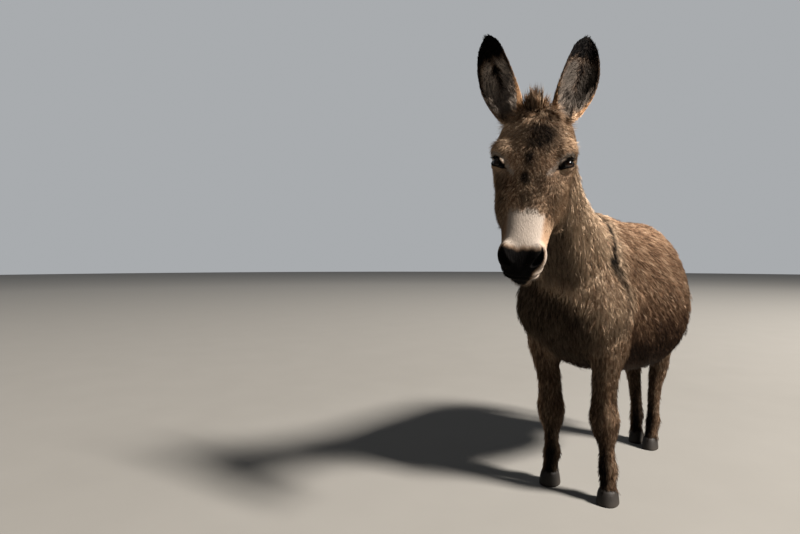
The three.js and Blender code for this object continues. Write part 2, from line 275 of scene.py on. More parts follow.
def melted(shells):
    """The vertices and triangles of several shells, one after another."""
    points, triangles, count = [], [], 0
    for p, t in shells:
        points.append(p)
        triangles.append(t + count)
        count += len(p)
    return np.concatenate(points), np.concatenate(triangles)


def turn(degrees, axis):
    """The 3 x 3 matrix of a turn about X, Y or Z."""
    return np.array(Matrix.Rotation(np.radians(degrees), 3, axis))


HEAD_AXES = turn(HEAD_TURN, "Z") @ turn(-HEAD_TILT, "X") @ turn(HEAD_LEAN, "Y")


def head_to_world(p):
    """Head points, in mm from the poll with the face down -Z, looking along -Y, to mm from the shoulder."""
    return p @ HEAD_AXES.T + POLL


def world_to_head(points):
    """Metres in the shared frame to head points in mm."""
    return (from_shoulder(points) - POLL) @ HEAD_AXES


# Trunk, across the body: y, top, low, half width.
TRUNK = [(-486, 830, 660, 110), (-454, 905, 590, 176), (-385, 985, 524, 226), (-290, 1066, 472, 222),
         (-180, 1094, 450, 216), (-60, 1074, 430, 244), (80, 1066, 412, 268), (200, 1070, 422, 262),
         (305, 1072, 478, 232), (395, 1056, 560, 190), (470, 1004, 650, 150), (522, 930, 735, 100)]
# Neck, across its run: crest y and z, throat y and z, half width, x, turn in degrees.
NECK = [(-160, 960, -370, 620, 150, 0, 0), (-264, 1056, -440, 700, 152, 4, 2),
        (-372, 1118, -518, 796, 132, 16, 6), (-490, 1168, -588, 884, 109, 38, 12),
        (-610, 1236, -652, 966, 97, 64, 18), (-714, 1304, -706, 1046, 91, 88, 24),
        (-772, 1338, -742, 1120, 80, 100, 27)]
# Head, down the face: down, front, back, half width, how far forward it is widest.
HEAD = [(-40, -30, -112, 66, .5), (12, 4, -158, 100, .55), (68, 20, -192, 119, .6),
        (124, 24, -218, 127, .64), (176, 20, -230, 124, .68), (226, 10, -222, 112, .66),
        (276, -2, -192, 99, .56), (328, -10, -164, 87, .5), (380, -14, -144, 76, .5),
        (424, -18, -136, 71, .52), (462, -28, -132, 69, .52), (496, -44, -122, 57, .5),
        (512, -56, -112, 44, .5)]
# Legs, down each: z, front y, back y, half width, x.
FORE = [(640, -420, -215, 84, 124), (560, -416, -236, 76, 124), (490, -404, -268, 58, 118),
        (420, -393, -278, 52, 111), (360, -391, -278, 55, 108), (312, -395, -274, 63, 108),
        (262, -384, -276, 56, 109), (215, -367, -287, 42, 111), (165, -362, -287, 39, 113),
        (122, -368, -277, 45, 115), (88, -369, -289, 40, 117), (58, -374, -294, 38, 119),
        (40, -376, -296, 37, 119)]
HIND = [(690, 232, 480, 88, 104), (600, 244, 470, 78, 104), (520, 278, 456, 58, 95), (455, 317, 460, 48, 82),
        (405, 345, 477, 47, 71), (355, 356, 471, 47, 62), (300, 361, 450, 40, 54), (220, 364, 443, 37, 48),
        (165, 365, 445, 37, 46), (122, 358, 451, 42, 46), (88, 349, 433, 37, 44), (58, 344, 426, 36, 42),
        (40, 342, 422, 33, 40)]
# Each leg: its rows, its side, and how far its hoof stands back and out from them.
LEGS = {"fore_left": (FORE, 1, 20, 2), "fore_right": (FORE, -1, 34, -4),
        "hind_left": (HIND, 1, 0, 0), "hind_right": (HIND, -1, 56, 0)}
# Dock of the tail, down: z, front y, back y, half width.
DOCK = [(992, 462, 506, 26), (948, 496, 548, 26), (870, 526, 574, 23), (760, 538, 576, 20),
        (650, 530, 562, 17), (560, 522, 552, 16)]


def sections(top, low, side, half, widest=0.5, upper=2.0, lower=2.0):
    """Rows for loft() from the columns of a table."""
    count = len(half)
    shape = [np.broadcast_to(np.asarray(x, float), (count,))[:, None] for x in (half, widest, upper, lower)]
    return np.concatenate([top, low, np.broadcast_to(side, (count, 3)), *shape], 1)


def columns(*values):
    """The values, each a number or one per row, side by side as the columns of one table."""
    return np.stack(np.broadcast_arrays(*values), -1).astype(float)


def leg_rows(rows, side, back, out):
    """A leg swings from its top: the lower a section, the more of the leg's shift it takes."""
    z, front, rear, half, x = np.array(rows, float).T
    share = (z[0] - z) / z[0]
    x = side * (x + out * share)
    return sections(columns(x, front + back * share, z), columns(x, rear + back * share, z), (1, 0, 0), half,
                    upper=2.1, lower=2.1)


y, top, low, half = np.array(TRUNK, float).T
trunk_rows = sections(columns(0, y, top), columns(0, y, low), (1, 0, 0), half, 0.42, 1.75, 2.2)
crest_y, crest_z, throat_y, throat_z, half, x, angle = np.array(NECK, float).T
angle = np.radians(angle)
lean, middle = (throat_y - crest_y) / 2, (throat_y + crest_y) / 2
neck_rows = sections(columns(x + lean * np.sin(angle), middle - lean * np.cos(angle), crest_z),
                     columns(x - lean * np.sin(angle), middle + lean * np.cos(angle), throat_z),
                     columns(np.cos(angle), np.sin(angle), 0), half, 0.46, 1.75, 1.9)
down, front, back, half, widest = np.array(HEAD, float).T
head_rows = sections(columns(0, -front, -down), columns(0, -back, -down), (1, 0, 0), half, widest, 2.25, 1.85)
z, front, rear, half = np.array(DOCK, float).T
tail_rows = sections(columns(0, front, z), columns(0, rear, z), (1, 0, 0), half)

shells = [loft(trunk_rows, -DEPTH["trunk"], start=0.12), loft(neck_rows, -DEPTH["neck"], start=0.08),
          loft(tail_rows, -DEPTH["tail"], around=24)]
for side in (-1, 1):  # the shoulder and the thigh stand out from the barrel
    shells += [ball((side * 124, -300, 740), (98, 116, 240), -14, -DEPTH["trunk"]),
               ball((side * 84, 366, 740), (106, 142, 230), -10, -DEPTH["trunk"])]
shells += [loft(leg_rows(*leg), -DEPTH["leg"], around=36, start=0.05, end=0.015) for leg in LEGS.values()]
face = [loft(head_rows, -DEPTH["head"], rings=90, end=0.07), ball((0, 108, -486), (40, 34, 34), 0, -4)]
for side in (-1, 1):  # brow ridge, cheek and wing of the nostril; the ball above is the chin
    face += [ball((side * 86, 18, -138), (41, 38, 46), 0, -DEPTH["head"]),
             ball((side * 72, 138, -222), (42, 88, 108), 16, -DEPTH["head"]),
             ball((side * 38, 56, -448), (34, 34, 46), 10, -3)]
shells += [head_to_world(grid) for grid in face]

VOXEL = 0.0045  # m: how finely the parts are melted into one hide
raw = mesh_object("raw_hide", *melted([shell(place(grid)) for grid in shells]))
melt = raw.modifiers.new("melt", "REMESH")
melt.mode, melt.voxel_size = "VOXEL", VOXEL


def arrays(obj):
    """Vertices and triangles of an object with its modifiers applied, by way of the evaluated mesh."""
    done = bpy.data.meshes.new_from_object(obj.evaluated_get(bpy.context.evaluated_depsgraph_get()))
    points = np.zeros(len(done.vertices) * 3, np.float32)
    done.vertices.foreach_get("co", points)
    done.calc_loop_triangles()
    triangles = np.zeros(len(done.loop_triangles) * 3, np.int32)
    done.loop_triangles.foreach_get("vertices", triangles)
    bpy.data.meshes.remove(done)
    return points.reshape(-1, 3).astype(float), triangles.reshape(-1, 3)


points, triangles = arrays(raw)
bpy.data.objects.remove(raw)


def edges_of(triangles, count):
    """Each edge once, as two arrays of vertex numbers."""
    pairs = np.sort(np.concatenate([triangles[:, list(ends)] for ends in ((0, 1), (1, 2), (2, 0))]), axis=1)
    key = np.unique(pairs[:, 0].astype(np.int64) * count + pairs[:, 1])
    return key // count, key % count


def spread(values, edges, rounds, amount=1.0):
    """Moves each vertex's values towards its neighbours' mean, by amount (a number or one per vertex)."""
    a, b = edges
    count = len(values)
    degree = np.maximum(np.bincount(a, minlength=count) + np.bincount(b, minlength=count), 1)
    flat = values.reshape(count, -1).copy()
    amount = np.broadcast_to(amount, (count,))
    for _ in range(rounds):
        for n in range(flat.shape[1]):
            column = flat[:, n]
            total = np.bincount(a, column[b], count) + np.bincount(b, column[a], count)
            flat[:, n] = column + amount * (total / degree - column)
    return flat.reshape(values.shape)


def normals_of(points, triangles):
    """Unit vertex normals, each the sum of its triangles' area vectors."""
    a, b, c = (points[triangles[:, n]] for n in range(3))
    area = np.cross(b - a, c - a)
    return unit(np.stack([sum(np.bincount(triangles[:, k], area[:, n], len(points)) for k in range(3))
                          for n in range(3)], 1))


def along_part(rows, p, grow=0.0, steps=96):
    """Where points lie on a loft: how far along, 0 to 1, the angle round it, and the radius, 1 on its
    surface. The nearest section is the one whose plane passes closest, and past the ends the radius grows
    with distance."""
    row = through(rows, np.linspace(0, 1, steps + 1))
    low, side, up, height = section_axes(row)
    middle = low + up * height * row[:, 10:11]
    ahead = np.cross(side, up)
    ahead *= np.sign(np.sum(ahead * (middle[-1] - middle[0]), axis=1))[:, None]
    past = p @ ahead.T - np.sum(middle * ahead, 1)
    away = np.sum(p ** 2, 1)[:, None] - 2 * p @ middle.T + np.sum(middle ** 2, 1)
    near = np.argmin(past ** 2 + 0.03 * away, 1)
    beyond = past[np.arange(len(p)), near]
    pitch = np.linalg.norm(middle[-1] - middle[0]) / steps
    offset = p - middle[near]
    across = np.sum(offset * side[near], 1) / (row[near, 9] + grow)
    rise = np.sum(offset * up[near], 1)
    reach = np.where(rise > 0, (1 - row[near, 10]) * height[near, 0], row[near, 10] * height[near, 0]) + grow
    radius = np.hypot(across, rise / reach)
    end = np.where(near == 0, np.maximum(-beyond, 0), 0) + np.where(near == steps, np.maximum(beyond, 0), 0)
    share = np.clip((near + np.clip(beyond / pitch, -0.5, 0.5)) / steps, 0, 1)
    return share, np.arctan2(rise / reach, across), np.hypot(radius, end / 60) if end.any() else radius


PARTS = ["trunk", "neck", "head", "tail", *LEGS]


def part_places(points):
    """For metres in the shared frame: each part's (along, angle, radius), with shapes (parts, points)."""
    p = from_shoulder(points)
    found = [along_part(trunk_rows, p, -DEPTH["trunk"]), along_part(neck_rows, p, -DEPTH["neck"]),
             along_part(head_rows, world_to_head(points), -DEPTH["head"]),
             along_part(tail_rows, p, -DEPTH["tail"])]
    found += [along_part(leg_rows(*leg), p, -DEPTH["leg"]) for leg in LEGS.values()]
    return np.array(found).swapaxes(0, 1)


def part_shares(radius, sharpness=0.1):
    """How much each vertex belongs to each part: 1 where that part's surface is the outer one."""
    share = np.exp(-(radius - radius.min(0)) / sharpness)
    return share / share.sum(0)


def smooth_step(x, start, full):
    """A ramp from 0 at start to 1 at full, on either side of it: 3 t^2 - 2 t^3 of the share t of the way."""
    t = np.clip((x - start) / (full - start), 0, 1)
    return t * t * (3 - 2 * t)


def ridge(x, at, width):
    """A soft ridge of height 1 along x = at: exp(-((x - at) / width)^2)."""
    return np.exp(-((x - at) / width) ** 2)


def bump(p, centre, reach):
    """A soft hill of height 1: exp(-(distance / reach)^2), with one reach or one along each axis."""
    return np.exp(-np.sum(((p - np.array(centre)) / reach) ** 2, 1))


edges = edges_of(triangles, len(points))
radius = part_places(points)[2]
_, _, head, _, *legs = part_shares(radius)
ranked = np.sort(radius, 0)
joint = ridge(ranked[1] - ranked[0], 0, 0.25)
fine = head + np.sum(legs, 0)  # the head and legs keep their form, and the trunk and neck are soft
points = spread(points, edges, 30, np.clip(0.9 - fine + joint * (1 - head), 0, 0.9))
points = spread(points, edges, 9, 0.6)

# Fewer triangles on the trunk and neck, where the long coat hides the hide.
raw = mesh_object("raw_hide", points, triangles)
coarse = raw.vertex_groups.new(name="coarse")
coarse.add(np.flatnonzero(head < 0.4).tolist(), 1.0, "REPLACE")
fewer = raw.modifiers.new("fewer", "DECIMATE")
fewer.ratio, fewer.vertex_group, fewer.vertex_group_factor = 0.27, "coarse", 10.0
points, triangles = arrays(raw)
bpy.data.objects.remove(raw)


def finer(points, triangles, chosen):
    """Halves every edge between chosen vertices: their triangles become four, and those beside them two."""
    count = len(points)
    ends = np.stack([triangles, np.roll(triangles, -1, 1)], -1)
    split = chosen[ends].all(-1)
    low, high = ends.min(-1).astype(np.int64), ends.max(-1)
    halved, number = np.unique((low * count + high)[split], return_inverse=True)
    middle = np.zeros_like(low)
    middle[split] = count + number
    points = np.concatenate([points, (points[halved // count] + points[halved % count]) / 2])
    whole = triangles[~split.any(1)]
    a, b, c = triangles[split.all(1)].T
    ab, bc, ca = middle[split.all(1)].T
    made = [whole, np.stack([a, ab, ca], 1), np.stack([ab, b, bc], 1), np.stack([ca, bc, c], 1),
            np.stack([ab, bc, ca], 1)]
    for n in range(3):  # one halved edge, from corner n to the next
        beside = split[:, n] & (split.sum(1) == 1)
        a, b, c = np.roll(triangles[beside], -n, 1).T
        ab = middle[beside, n]
        made += [np.stack([a, ab, c], 1), np.stack([ab, b, c], 1)]
    return points, np.concatenate(made)


# Landmarks of the head in mm, for the left side; the right side has x turned over.
EYE = {"at": (92, 22, -181), "radius": 21.5, "out": (0.77, -0.62, 0.13), "tilt": 40}
NOSTRIL = {"at": (47, 34, -464), "out": (0.60, -0.80, 0.0), "tilt": 84}
MOUTH_FRONT, MOUTH_CORNER = (66, -516), (118, -436)  # y and z of the lips' line
LID_DEPTH, EYE_DEPTH = 3.2, 5.0  # mm: how far the lids lie over the eyeball, and the hide under its surface
NOSTRIL_DEPTH, MOUTH_DEPTH = 19, 6.0  # mm
# Forms under the short hair of each side of the face: how far they stand out, their place and reach, in mm.
FACE_FORMS = [(-5.0, (66, -4, -104), (22, 40, 24)),  # hollow over the eye
              (7.0, (93, 4, -150), (26, 34, 14)),  # brow
              (4.0, (92, 34, -250), (26, 14, 40)),  # crest of the cheek
              (-4.0, (92, 66, -268), (26, 16, 52)),  # hollow behind the crest
              (-3.5, (68, 28, -348), (22, 22, 44)),  # side of the nose bone
              (4.0, (50, 22, -436), (20, 22, 22))]  # swelling over the nostril


def facing(landmark, side):
    """Centre and axes (along the opening, across it, outwards) of an eye or nostril, in head mm."""
    out = unit(np.array(landmark["out"]) * (side, 1, 1))
    level = unit(np.cross((0, 0, 1), out) * side)
    across = np.cross(out, level) * side
    c, s = np.cos(np.radians(landmark["tilt"])), np.sin(np.radians(landmark["tilt"]))
    axes = np.array([c * level + s * across, c * across - s * level, out])
    return np.array(landmark["at"]) * (side, 1, 1), axes


def almond(x):
    """The opening between the lids at x mm along it: the share t of the way to its corner, and how far the
    upper and the lower lid stand from the middle, as powers of 1 - t^2. Its inner half is the longer."""
    t = (x + 2) / np.where(x < -2, 25, 19)
    room = np.clip(1 - t ** 2, 0, 1)
    return t, 13.5 * room ** 0.75, 10 * room ** 0.8


def eye_gap(x, y):
    """Distance in mm from the edge of the almond between the lids, below 0 inside."""
    t, upper, lower = almond(x)
    return np.maximum(y - upper, -lower - y) + 9 * np.maximum(np.abs(t) - 1, 0)


def nostril_gap(x, y):
    """Distance in mm from the edge of the comma-shaped nostril, below 0 inside: an ellipse that is wide below
    and bent by a parabola, so that it curls in above."""
    bend = y - 0.008 * (x - 4) ** 2 + 2
    width = 9 - 0.18 * np.clip(x, -23, 23)
    return (np.hypot(x / 23, bend / width) - 1) * width


def sculpt_head(q, n):
    """The forms that show through the short hair of the face, in head mm, as pushes along the normals n or
    along an opening's axis: the FACE_FORMS, lids over the eyeballs, open nostrils and the lips' line."""
    for side in (-1, 1):
        push = sum(much * bump(q, (x * side, y, z), reach) for much, (x, y, z), reach in FACE_FORMS)
        q = q + push[:, None] * n
        # Lids: a ball just over the eyeball, with a rim and a crease, sunk to the eyeball inside the almond.
        centre, axes = facing(EYE, side)
        x, y, h = ((q - centre) @ axes.T).T
        r = np.hypot(x, y)
        gap = eye_gap(x, y)
        over = np.sqrt(np.clip((EYE["radius"] + LID_DEPTH) ** 2 - r ** 2, 0, None))
        lidded = np.where(r < EYE["radius"] + 3, np.maximum(h, over), h)
        lidded = h + (lidded - h) * smooth_step(r, 38, 20)
        lidded += 1.3 * ridge(gap, 2, 2.2) - 1.6 * ridge(gap, 7.5, 2.4) * (y > -4)
        sunk = np.sqrt(np.clip((EYE["radius"] - EYE_DEPTH) ** 2 - r ** 2, 4, None)) - 2
        sunk = np.where(np.abs(x) > 15, lidded - 6, sunk)
        lidded += (np.minimum(sunk, lidded) - lidded) * smooth_step(gap, 0.4, -1.2)
        q = q + np.where((h > -14) & (r < 60), lidded - h, 0)[:, None] * axes[2]
        # Nostril: a soft rim round a pit.
        centre, axes = facing(NOSTRIL, side)
        x, y, h = ((q - centre) @ axes.T).T
        gap = nostril_gap(x, y)
        move = 3.0 * ridge(gap, 3.5, 4.0) - NOSTRIL_DEPTH * smooth_step(gap, 0.8, -6.5)
        q = q + np.where((h > -25) & (np.hypot(x, y) < 45), move, 0)[:, None] * axes[2]
    # Mouth: a crease between two lips, along the line from the front to the corner.
    (y0, z0), (y1, z1) = MOUTH_FRONT, MOUTH_CORNER
    length = np.hypot(y1 - y0, z1 - z0)
    run = np.array([y1 - y0, z1 - z0]) / length
    y, z = q[:, 1] - y0, q[:, 2] - z0
    along = y * run[0] + z * run[1]
    off = z * run[0] - y * run[1]
    ends = smooth_step(along, -30, -8) * smooth_step(along, length, 70)
    crease = -MOUTH_DEPTH * ridge(off, 0, 2.4) + 2.2 * ridge(off, 8, 6) + 1.8 * ridge(off, -8, 6)
    return q + (crease * ends)[:, None] * n


for reach in (62, 30):  # mm round the eyes and nostrils that get a finer net; first the whole nose does too
    q = world_to_head(points)
    chosen = (q[:, 2] < -420) & (q[:, 2] > -560) & (reach > 40) & (np.abs(q[:, 0]) < 90) & (q[:, 1] < 170)
    for side in (-1, 1):
        chosen |= np.linalg.norm(q - facing(EYE, side)[0], axis=1) < reach
        chosen |= np.linalg.norm(q - facing(NOSTRIL, side)[0], axis=1) < reach * 1.1
    points, triangles = finer(points, triangles, chosen)
edges = edges_of(triangles, len(points))
on_head = part_shares(part_places(points)[2])[PARTS.index("head")]
points = spread(points, edges, 3, 0.5 * on_head)
q = world_to_head(points)
sculpted = sculpt_head(q, normals_of(points, triangles) @ HEAD_AXES)
points = place(head_to_world(q + (sculpted - q) * smooth_step(on_head, 0.3, 0.8)[:, None]))
points = spread(points, edges, 2, 0.35 * on_head)

# Each ear is a leaf of gristle and hide curled round its opening, which faces forwards at rest.
# Sections up the ear: width, depth, half angle of the wall in degrees, how far it bows outwards.
EAR_LENGTH, EAR_WALL, EAR_BASE = 274, 5.5, (64, 34, -30)
EAR_LEAF = [(66, 44, 150, 0), (95, 46, 128, 8), (112, 43, 112, 14), (119, 38, 103, 18), (117, 32, 96, 19),
            (106, 25, 90, 17), (84, 17, 86, 12), (50, 10, 82, 6)]
# For each ear: its side, and how it leans out, swings back and turns, in degrees.
EARS = {"left": (1, 11, -8, 18), "right": (-1, 24, 8, 26)}


def ear_axes(side, lean, sweep, twist):
    """Base point in mm from the shoulder, and axes, of an ear that stands up +Z and opens towards -Y."""
    axes = HEAD_AXES @ turn(side * lean, "Y") @ turn(sweep + HEAD_TILT, "X") @ turn(side * twist, "Z")
    return head_to_world(np.array(EAR_BASE) * (side, 1, 1)), axes


def ear_grid(side, depth, wall, rings=84, around=72):
    """A curled leaf: at height v its wall runs round an ellipse from one side of its opening to the other, as
    -cos(angle), and is wall thick with round rims, as the root of sin(angle). Its ends shrink to poles."""
    v = crowded(rings, 0.5)
    width, deep, half_angle, bow = (through(EAR_LEAF, v)[:, n, None] for n in range(4))
    size = (opened(v, 0.05) * opened(1 - v, 0.12))[:, None]
    angle = 2 * np.pi * np.arange(around)[None] / around
    run = -np.radians(half_angle) * np.cos(angle) * 0.999
    inset = depth + wall / 2 * (1 - signed_power(np.sin(angle), 0.5))
    x, y = (width / 2 - inset) * np.sin(run), (deep - inset) * np.cos(run)
    middle = deep - depth - wall / 2
    return columns(x * size + side * bow, middle + (y - middle) * size, EAR_LENGTH * v[:, None])


body = mesh_object("body", points, triangles)
melted_in = [body]
for side, *pose in EARS.values():
    base, axes = ear_axes(side, *pose)
    ear = mesh_object("ear", *shell(place(ear_grid(side, DEPTH["ear"], EAR_WALL) @ axes.T + base)))
    grown = body.modifiers.new("grown", "BOOLEAN")
    grown.operation, grown.object, grown.solver = "UNION", ear, "MANIFOLD"
    melted_in.append(ear)
points, triangles = arrays(body)
for made in melted_in:
    bpy.data.objects.remove(made)

# ---- Lie, markings and length of the coat ----
# The hair is brown with dark roots and sun-bleached tips. A dark line runs down the back, with a cross over
# the shoulders and faint bars on the legs. The muzzle and the rings over the eyes are pale, and the nose is
# black. Painted shade darkens the chest, throat, underside, lower flank, inner legs, the fold behind the
# shoulder, the right cheek, the right nostril's edge and the left ear's lining. Painted light partly pales
# the neck, shoulders and cheeks. Everything is worked out once for each vertex of the hide, in mm or as a
# share from 0 to 1.

EAR_INSIDE = 5  # mm under the outer face of an ear's leaf, from where its inner face begins

edges = edges_of(triangles, len(points))
normals = normals_of(points, triangles)
along, angle, radius = part_places(points)
share = part_shares(radius)
p, q = from_shoulder(points), world_to_head(points)
body_left, body_back, height = p.T
head_left, head_back, down_face = (q * (1, 1, -1)).T


def in_ear(p, side, *pose):
    """Ear points in mm, height 0 to 1, whether they lie inside the leaf, and 1 on the ear, 0 off it."""
    base, axes = ear_axes(side, *pose)
    local = (p - base) @ axes
    v = local[:, 2] / EAR_LENGTH
    width, deep, _, bow = through(EAR_LEAF, np.clip(v, 0, 1)).T
    x, y = local[:, 0] - side * bow, local[:, 1]
    ray = np.hypot(x / (width / 2), y / deep)
    under = np.hypot(x, y) * (1 / np.maximum(ray, 0.05) - 1)
    return local, v, under > EAR_INSIDE, smooth_step(v, 0.05, 0.13) * (ray < 1.12) * (v < 1.05)


def laid_on(v, normal):
    """Vectors with their part along a unit normal taken off: v - (v . normal) normal."""
    return v - np.sum(v * normal, 1, keepdims=True) * normal


ears = {name: in_ear(p, *pose) for name, pose in EARS.items()}
on_ears = [found[3] for found in ears.values()]
off_ears = 1 - on_ears[0] - on_ears[1]
share = spread(np.concatenate([share * off_ears, on_ears]).T, edges, 6, 0.7).T
PARTS += ["ear_left", "ear_right"]
trunk, neck, head, tail = share[:4]
legs, hind_legs = share[4:8].sum(0), share[6:8].sum(0)

# Lie of the hair: the direction that each part's hair points in, before it is laid on the surface.
flow = np.zeros_like(points)
backwards = 0.55 + 0.6 * smooth_step(height, 960, 1080) + 0.3 * smooth_step(height, 560, 440)
backwards = backwards * smooth_step(body_back, -420, -120) + 0.05
flow += trunk[:, None] * columns(0, backwards, -1 + 0.4 * smooth_step(height, 980, 1090))
flow += neck[:, None] * columns(0, 0.16, -1)
swirl = 0.5 * np.sin(head_left / 15 + 1.3) * np.sin(-down_face / 23)
swirl += 0.3 * np.sin(-down_face / 11 + head_left / 19)
outward = np.interp(down_face, (0, 60, 150, 240, 420), (1.6, 1.4, 1.0, 0.3, 0.2))
outward = outward * np.clip(head_left / 55, -1.4, 1.4) + swirl * smooth_step(down_face, 360, 280)
forwards = 0.9 * np.clip(head_back / 90, 0, 1) * smooth_step(down_face, 20, 90)
forwards -= 1.2 * smooth_step(down_face, 50, 0)
flow += head[:, None] * (columns(outward, forwards, -1) @ HEAD_AXES.T)
flow += (tail + legs)[:, None] * np.array((0, 0.05, -1))
for pose, (local, _, within, _), ear_share in zip(EARS.values(), ears.values(), share[8:]):
    inward = -np.sign(local[:, 0] - pose[0] * 12) * 0.8 * within
    flow += ear_share[:, None] * (columns(inward, -0.5 * within, 1) @ ear_axes(*pose)[1].T)
lie = spread(unit(laid_on(flow, normals)), edges, 4, 0.6)


def by_part(**values):
    """One number per vertex, mixed from one per part."""
    table = np.array([values.get(name, values.get(name.split("_")[0], values.get("leg"))) for name in PARTS])
    return (share * table[:, None]).sum(0) / share.sum(0)


FAR = 99.0  # mm


def round_opening(landmark, gap_of, side):
    """How far along and across an eye or nostril each vertex lies, and its gap, which is FAR elsewhere."""
    centre, axes = facing(landmark, side)
    x, y, h = ((q - centre) @ axes.T).T
    return x, y, np.where((h > -30) & (np.hypot(x, y) < 60), gap_of(x, y), FAR)


eye_edge = nostril_edge = np.full(len(points), FAR)
eye_ring, below_eye = np.zeros((2, len(points)))
for side in (-1, 1):
    nostril_edge = np.minimum(nostril_edge, round_opening(NOSTRIL, nostril_gap, side)[2])
    x, y, gap = round_opening(EYE, eye_gap, side)
    eye_edge = np.minimum(eye_edge, gap)
    eye_ring += smooth_step(gap, 25, 12) * smooth_step(y - 0.15 * x, -2, 10)
    below_eye += smooth_step(gap, 34, 10) * smooth_step(y, 2, -12)

# The nose is black up to a ragged edge, but for a white outer edge of the left nostril and hair on the chin.
# The right nostril's outer edge stays black as painted shade.
wobble = 7 * np.sin(head_left / 9.0) + 5 * np.sin(head_left / 4.1 + 1) + 5 * np.sin(head_back / 7.0)
aside = np.abs(head_left) + 0.35 * np.maximum(head_back - 30, 0)
white_edge = smooth_step(aside + 18 * smooth_step(down_face, 470, 500), 58, 72)
# Painted shade: the white edge is kept to the left nostril, so the right one's edge is black.
white_edge *= smooth_step(head_left, -20, 20)
nose = head * smooth_step(down_face + 0.3 * wobble, 424, 447) * (1 - 0.9 * white_edge)
chin = smooth_step(down_face, 478, 496)
chin_hair = head * smooth_step(head_left, 14, 40) * smooth_step(head_back, 80, 104)
chin_hair *= smooth_step(down_face, 450, 485)
nose = nose * (1 - smooth_step(head_back - 40 * chin, 84, 108)) * (1 - chin_hair)
nose = np.maximum(nose, head * smooth_step(nostril_edge, 4, 1))
lids = smooth_step(eye_edge, 6.5, 3)
# Pale are the muzzle, the rings over the eyes, and a little of the belly and the inside of the hind legs.
pale = head * smooth_step(down_face + wobble * 0.7, 312, 332) * (1 - 0.75 * smooth_step(head_back, 90, 124))
pale *= 1 - smooth_step(aside, 44, 62) * smooth_step(down_face, 440, 400)
pale = np.maximum.reduce([pale, np.minimum(eye_ring, 1), 0.3 * below_eye, 0.25 * chin_hair])
outwards = normals[:, 0] * np.sign(body_left)
rear_belly = trunk * smooth_step(normals[:, 2], -0.55, -0.95) * smooth_step(body_back, -200, 100)
inner_thigh = hind_legs * smooth_step(outwards, -0.2, -0.8) * smooth_step(height, 330, 480)
pale = np.maximum.reduce([pale, 0.3 * rear_belly, 0.4 * inner_thigh])
# Dark on the face: a mottled band down its front, spots on the forehead and under the jaw, and painted
# shade on the right cheek.
face_dark_and_shade = head * smooth_step(np.abs(head_left) + 0.12 * down_face, 96, 50)
face_dark_and_shade *= smooth_step(down_face, 345, 300) * smooth_step(head_back, 60, 10) * (1 - eye_ring)
face_dark_and_shade *= 0.5 + 0.3 * np.sin(head_left / 13 + 2) * np.sin(-down_face / 17)
for x, z, wide, tall in ((8, -100, 62, 54), (-6, -168, 17, 21), (-12, -232, 18, 24)):
    face_dark_and_shade = np.maximum(face_dark_and_shade, np.minimum(1.45 * head * bump(q, (x, -20, z), (wide, 60, tall)), 0.96))
# Painted shade: the animal's right cheek, on the side away from the light, is darkened.
right_cheek_shade = head * smooth_step(head_left, -42, -78) * smooth_step(down_face, 180, 240)
under_jaw = head * smooth_step(head_back, 95, 130) * smooth_step(down_face, 400, 340)
face_dark_and_shade = np.maximum.reduce([face_dark_and_shade, 0.68 * right_cheek_shade, 0.55 * under_jaw])
# The shoulder's stripe goes on down as a fold of the skin: its heights, and how far back it lies at each.
# The dark band along the fold is partly the shoulders' own cross and partly painted shade in the crease.
FOLD_HEIGHTS = (602, 637, 678, 719, 764, 818, 871, 917, 974, 1022, 1090)
FOLD_BACK = (-385, -375, -360, -350, -345, -360, -358, -335, -275, -240, -205)
FOLD_DEPTH = 7
fold = body_back - np.interp(height, FOLD_HEIGHTS, FOLD_BACK)
# Dark cross: the shoulders' own stripe, with painted shade down the fold, weaker below the shoulder.
cross = smooth_step(np.abs(fold + 6), 34, 14) * (0.55 + 0.45 * smooth_step(height, 740, 900)) * (height > 600)
points = points - normals * ((trunk + neck) * FOLD_DEPTH * MM * ridge(fold, 0, 14) * (height > 600))[:, None]
back_line = smooth_step(np.abs(body_left), 30, 14) * smooth_step(height, 900, 1000)
back_line *= smooth_step(body_back, -330, -260)
bars = sum(much * ridge(height, z, 11) for z, much in ((392, 1.0), (448, 0.7), (505, 0.45), (286, 0.6)))
# Painted shade: the underside of the neck, in the shadow of the head, is darkened.
throat_painted_shade = neck * smooth_step(np.sin(angle[PARTS.index("neck")]), -0.45, -0.95)
# Painted shade darkens the front of the chest, up to an edge that lies further left the lower it is.
CHEST_SHADE_HEIGHTS = (560, 610, 650, 700, 745, 765, 790, 900)
CHEST_SHADE_EDGE = (200, 165, 147, 123, 70, 15, -44, -90)
chest_painted_shade = (trunk + neck) * smooth_step(normals[:, 1], -0.15, -0.6) * smooth_step(height, 1060, 860)
chest_painted_shade *= smooth_step(np.interp(height, CHEST_SHADE_HEIGHTS, CHEST_SHADE_EDGE) - body_left, -70, 60)
# Painted shade: the downward-facing underside of the barrel is darkened.
belly_painted_shade = trunk * smooth_step(normals[:, 2], 0.0, -0.5)
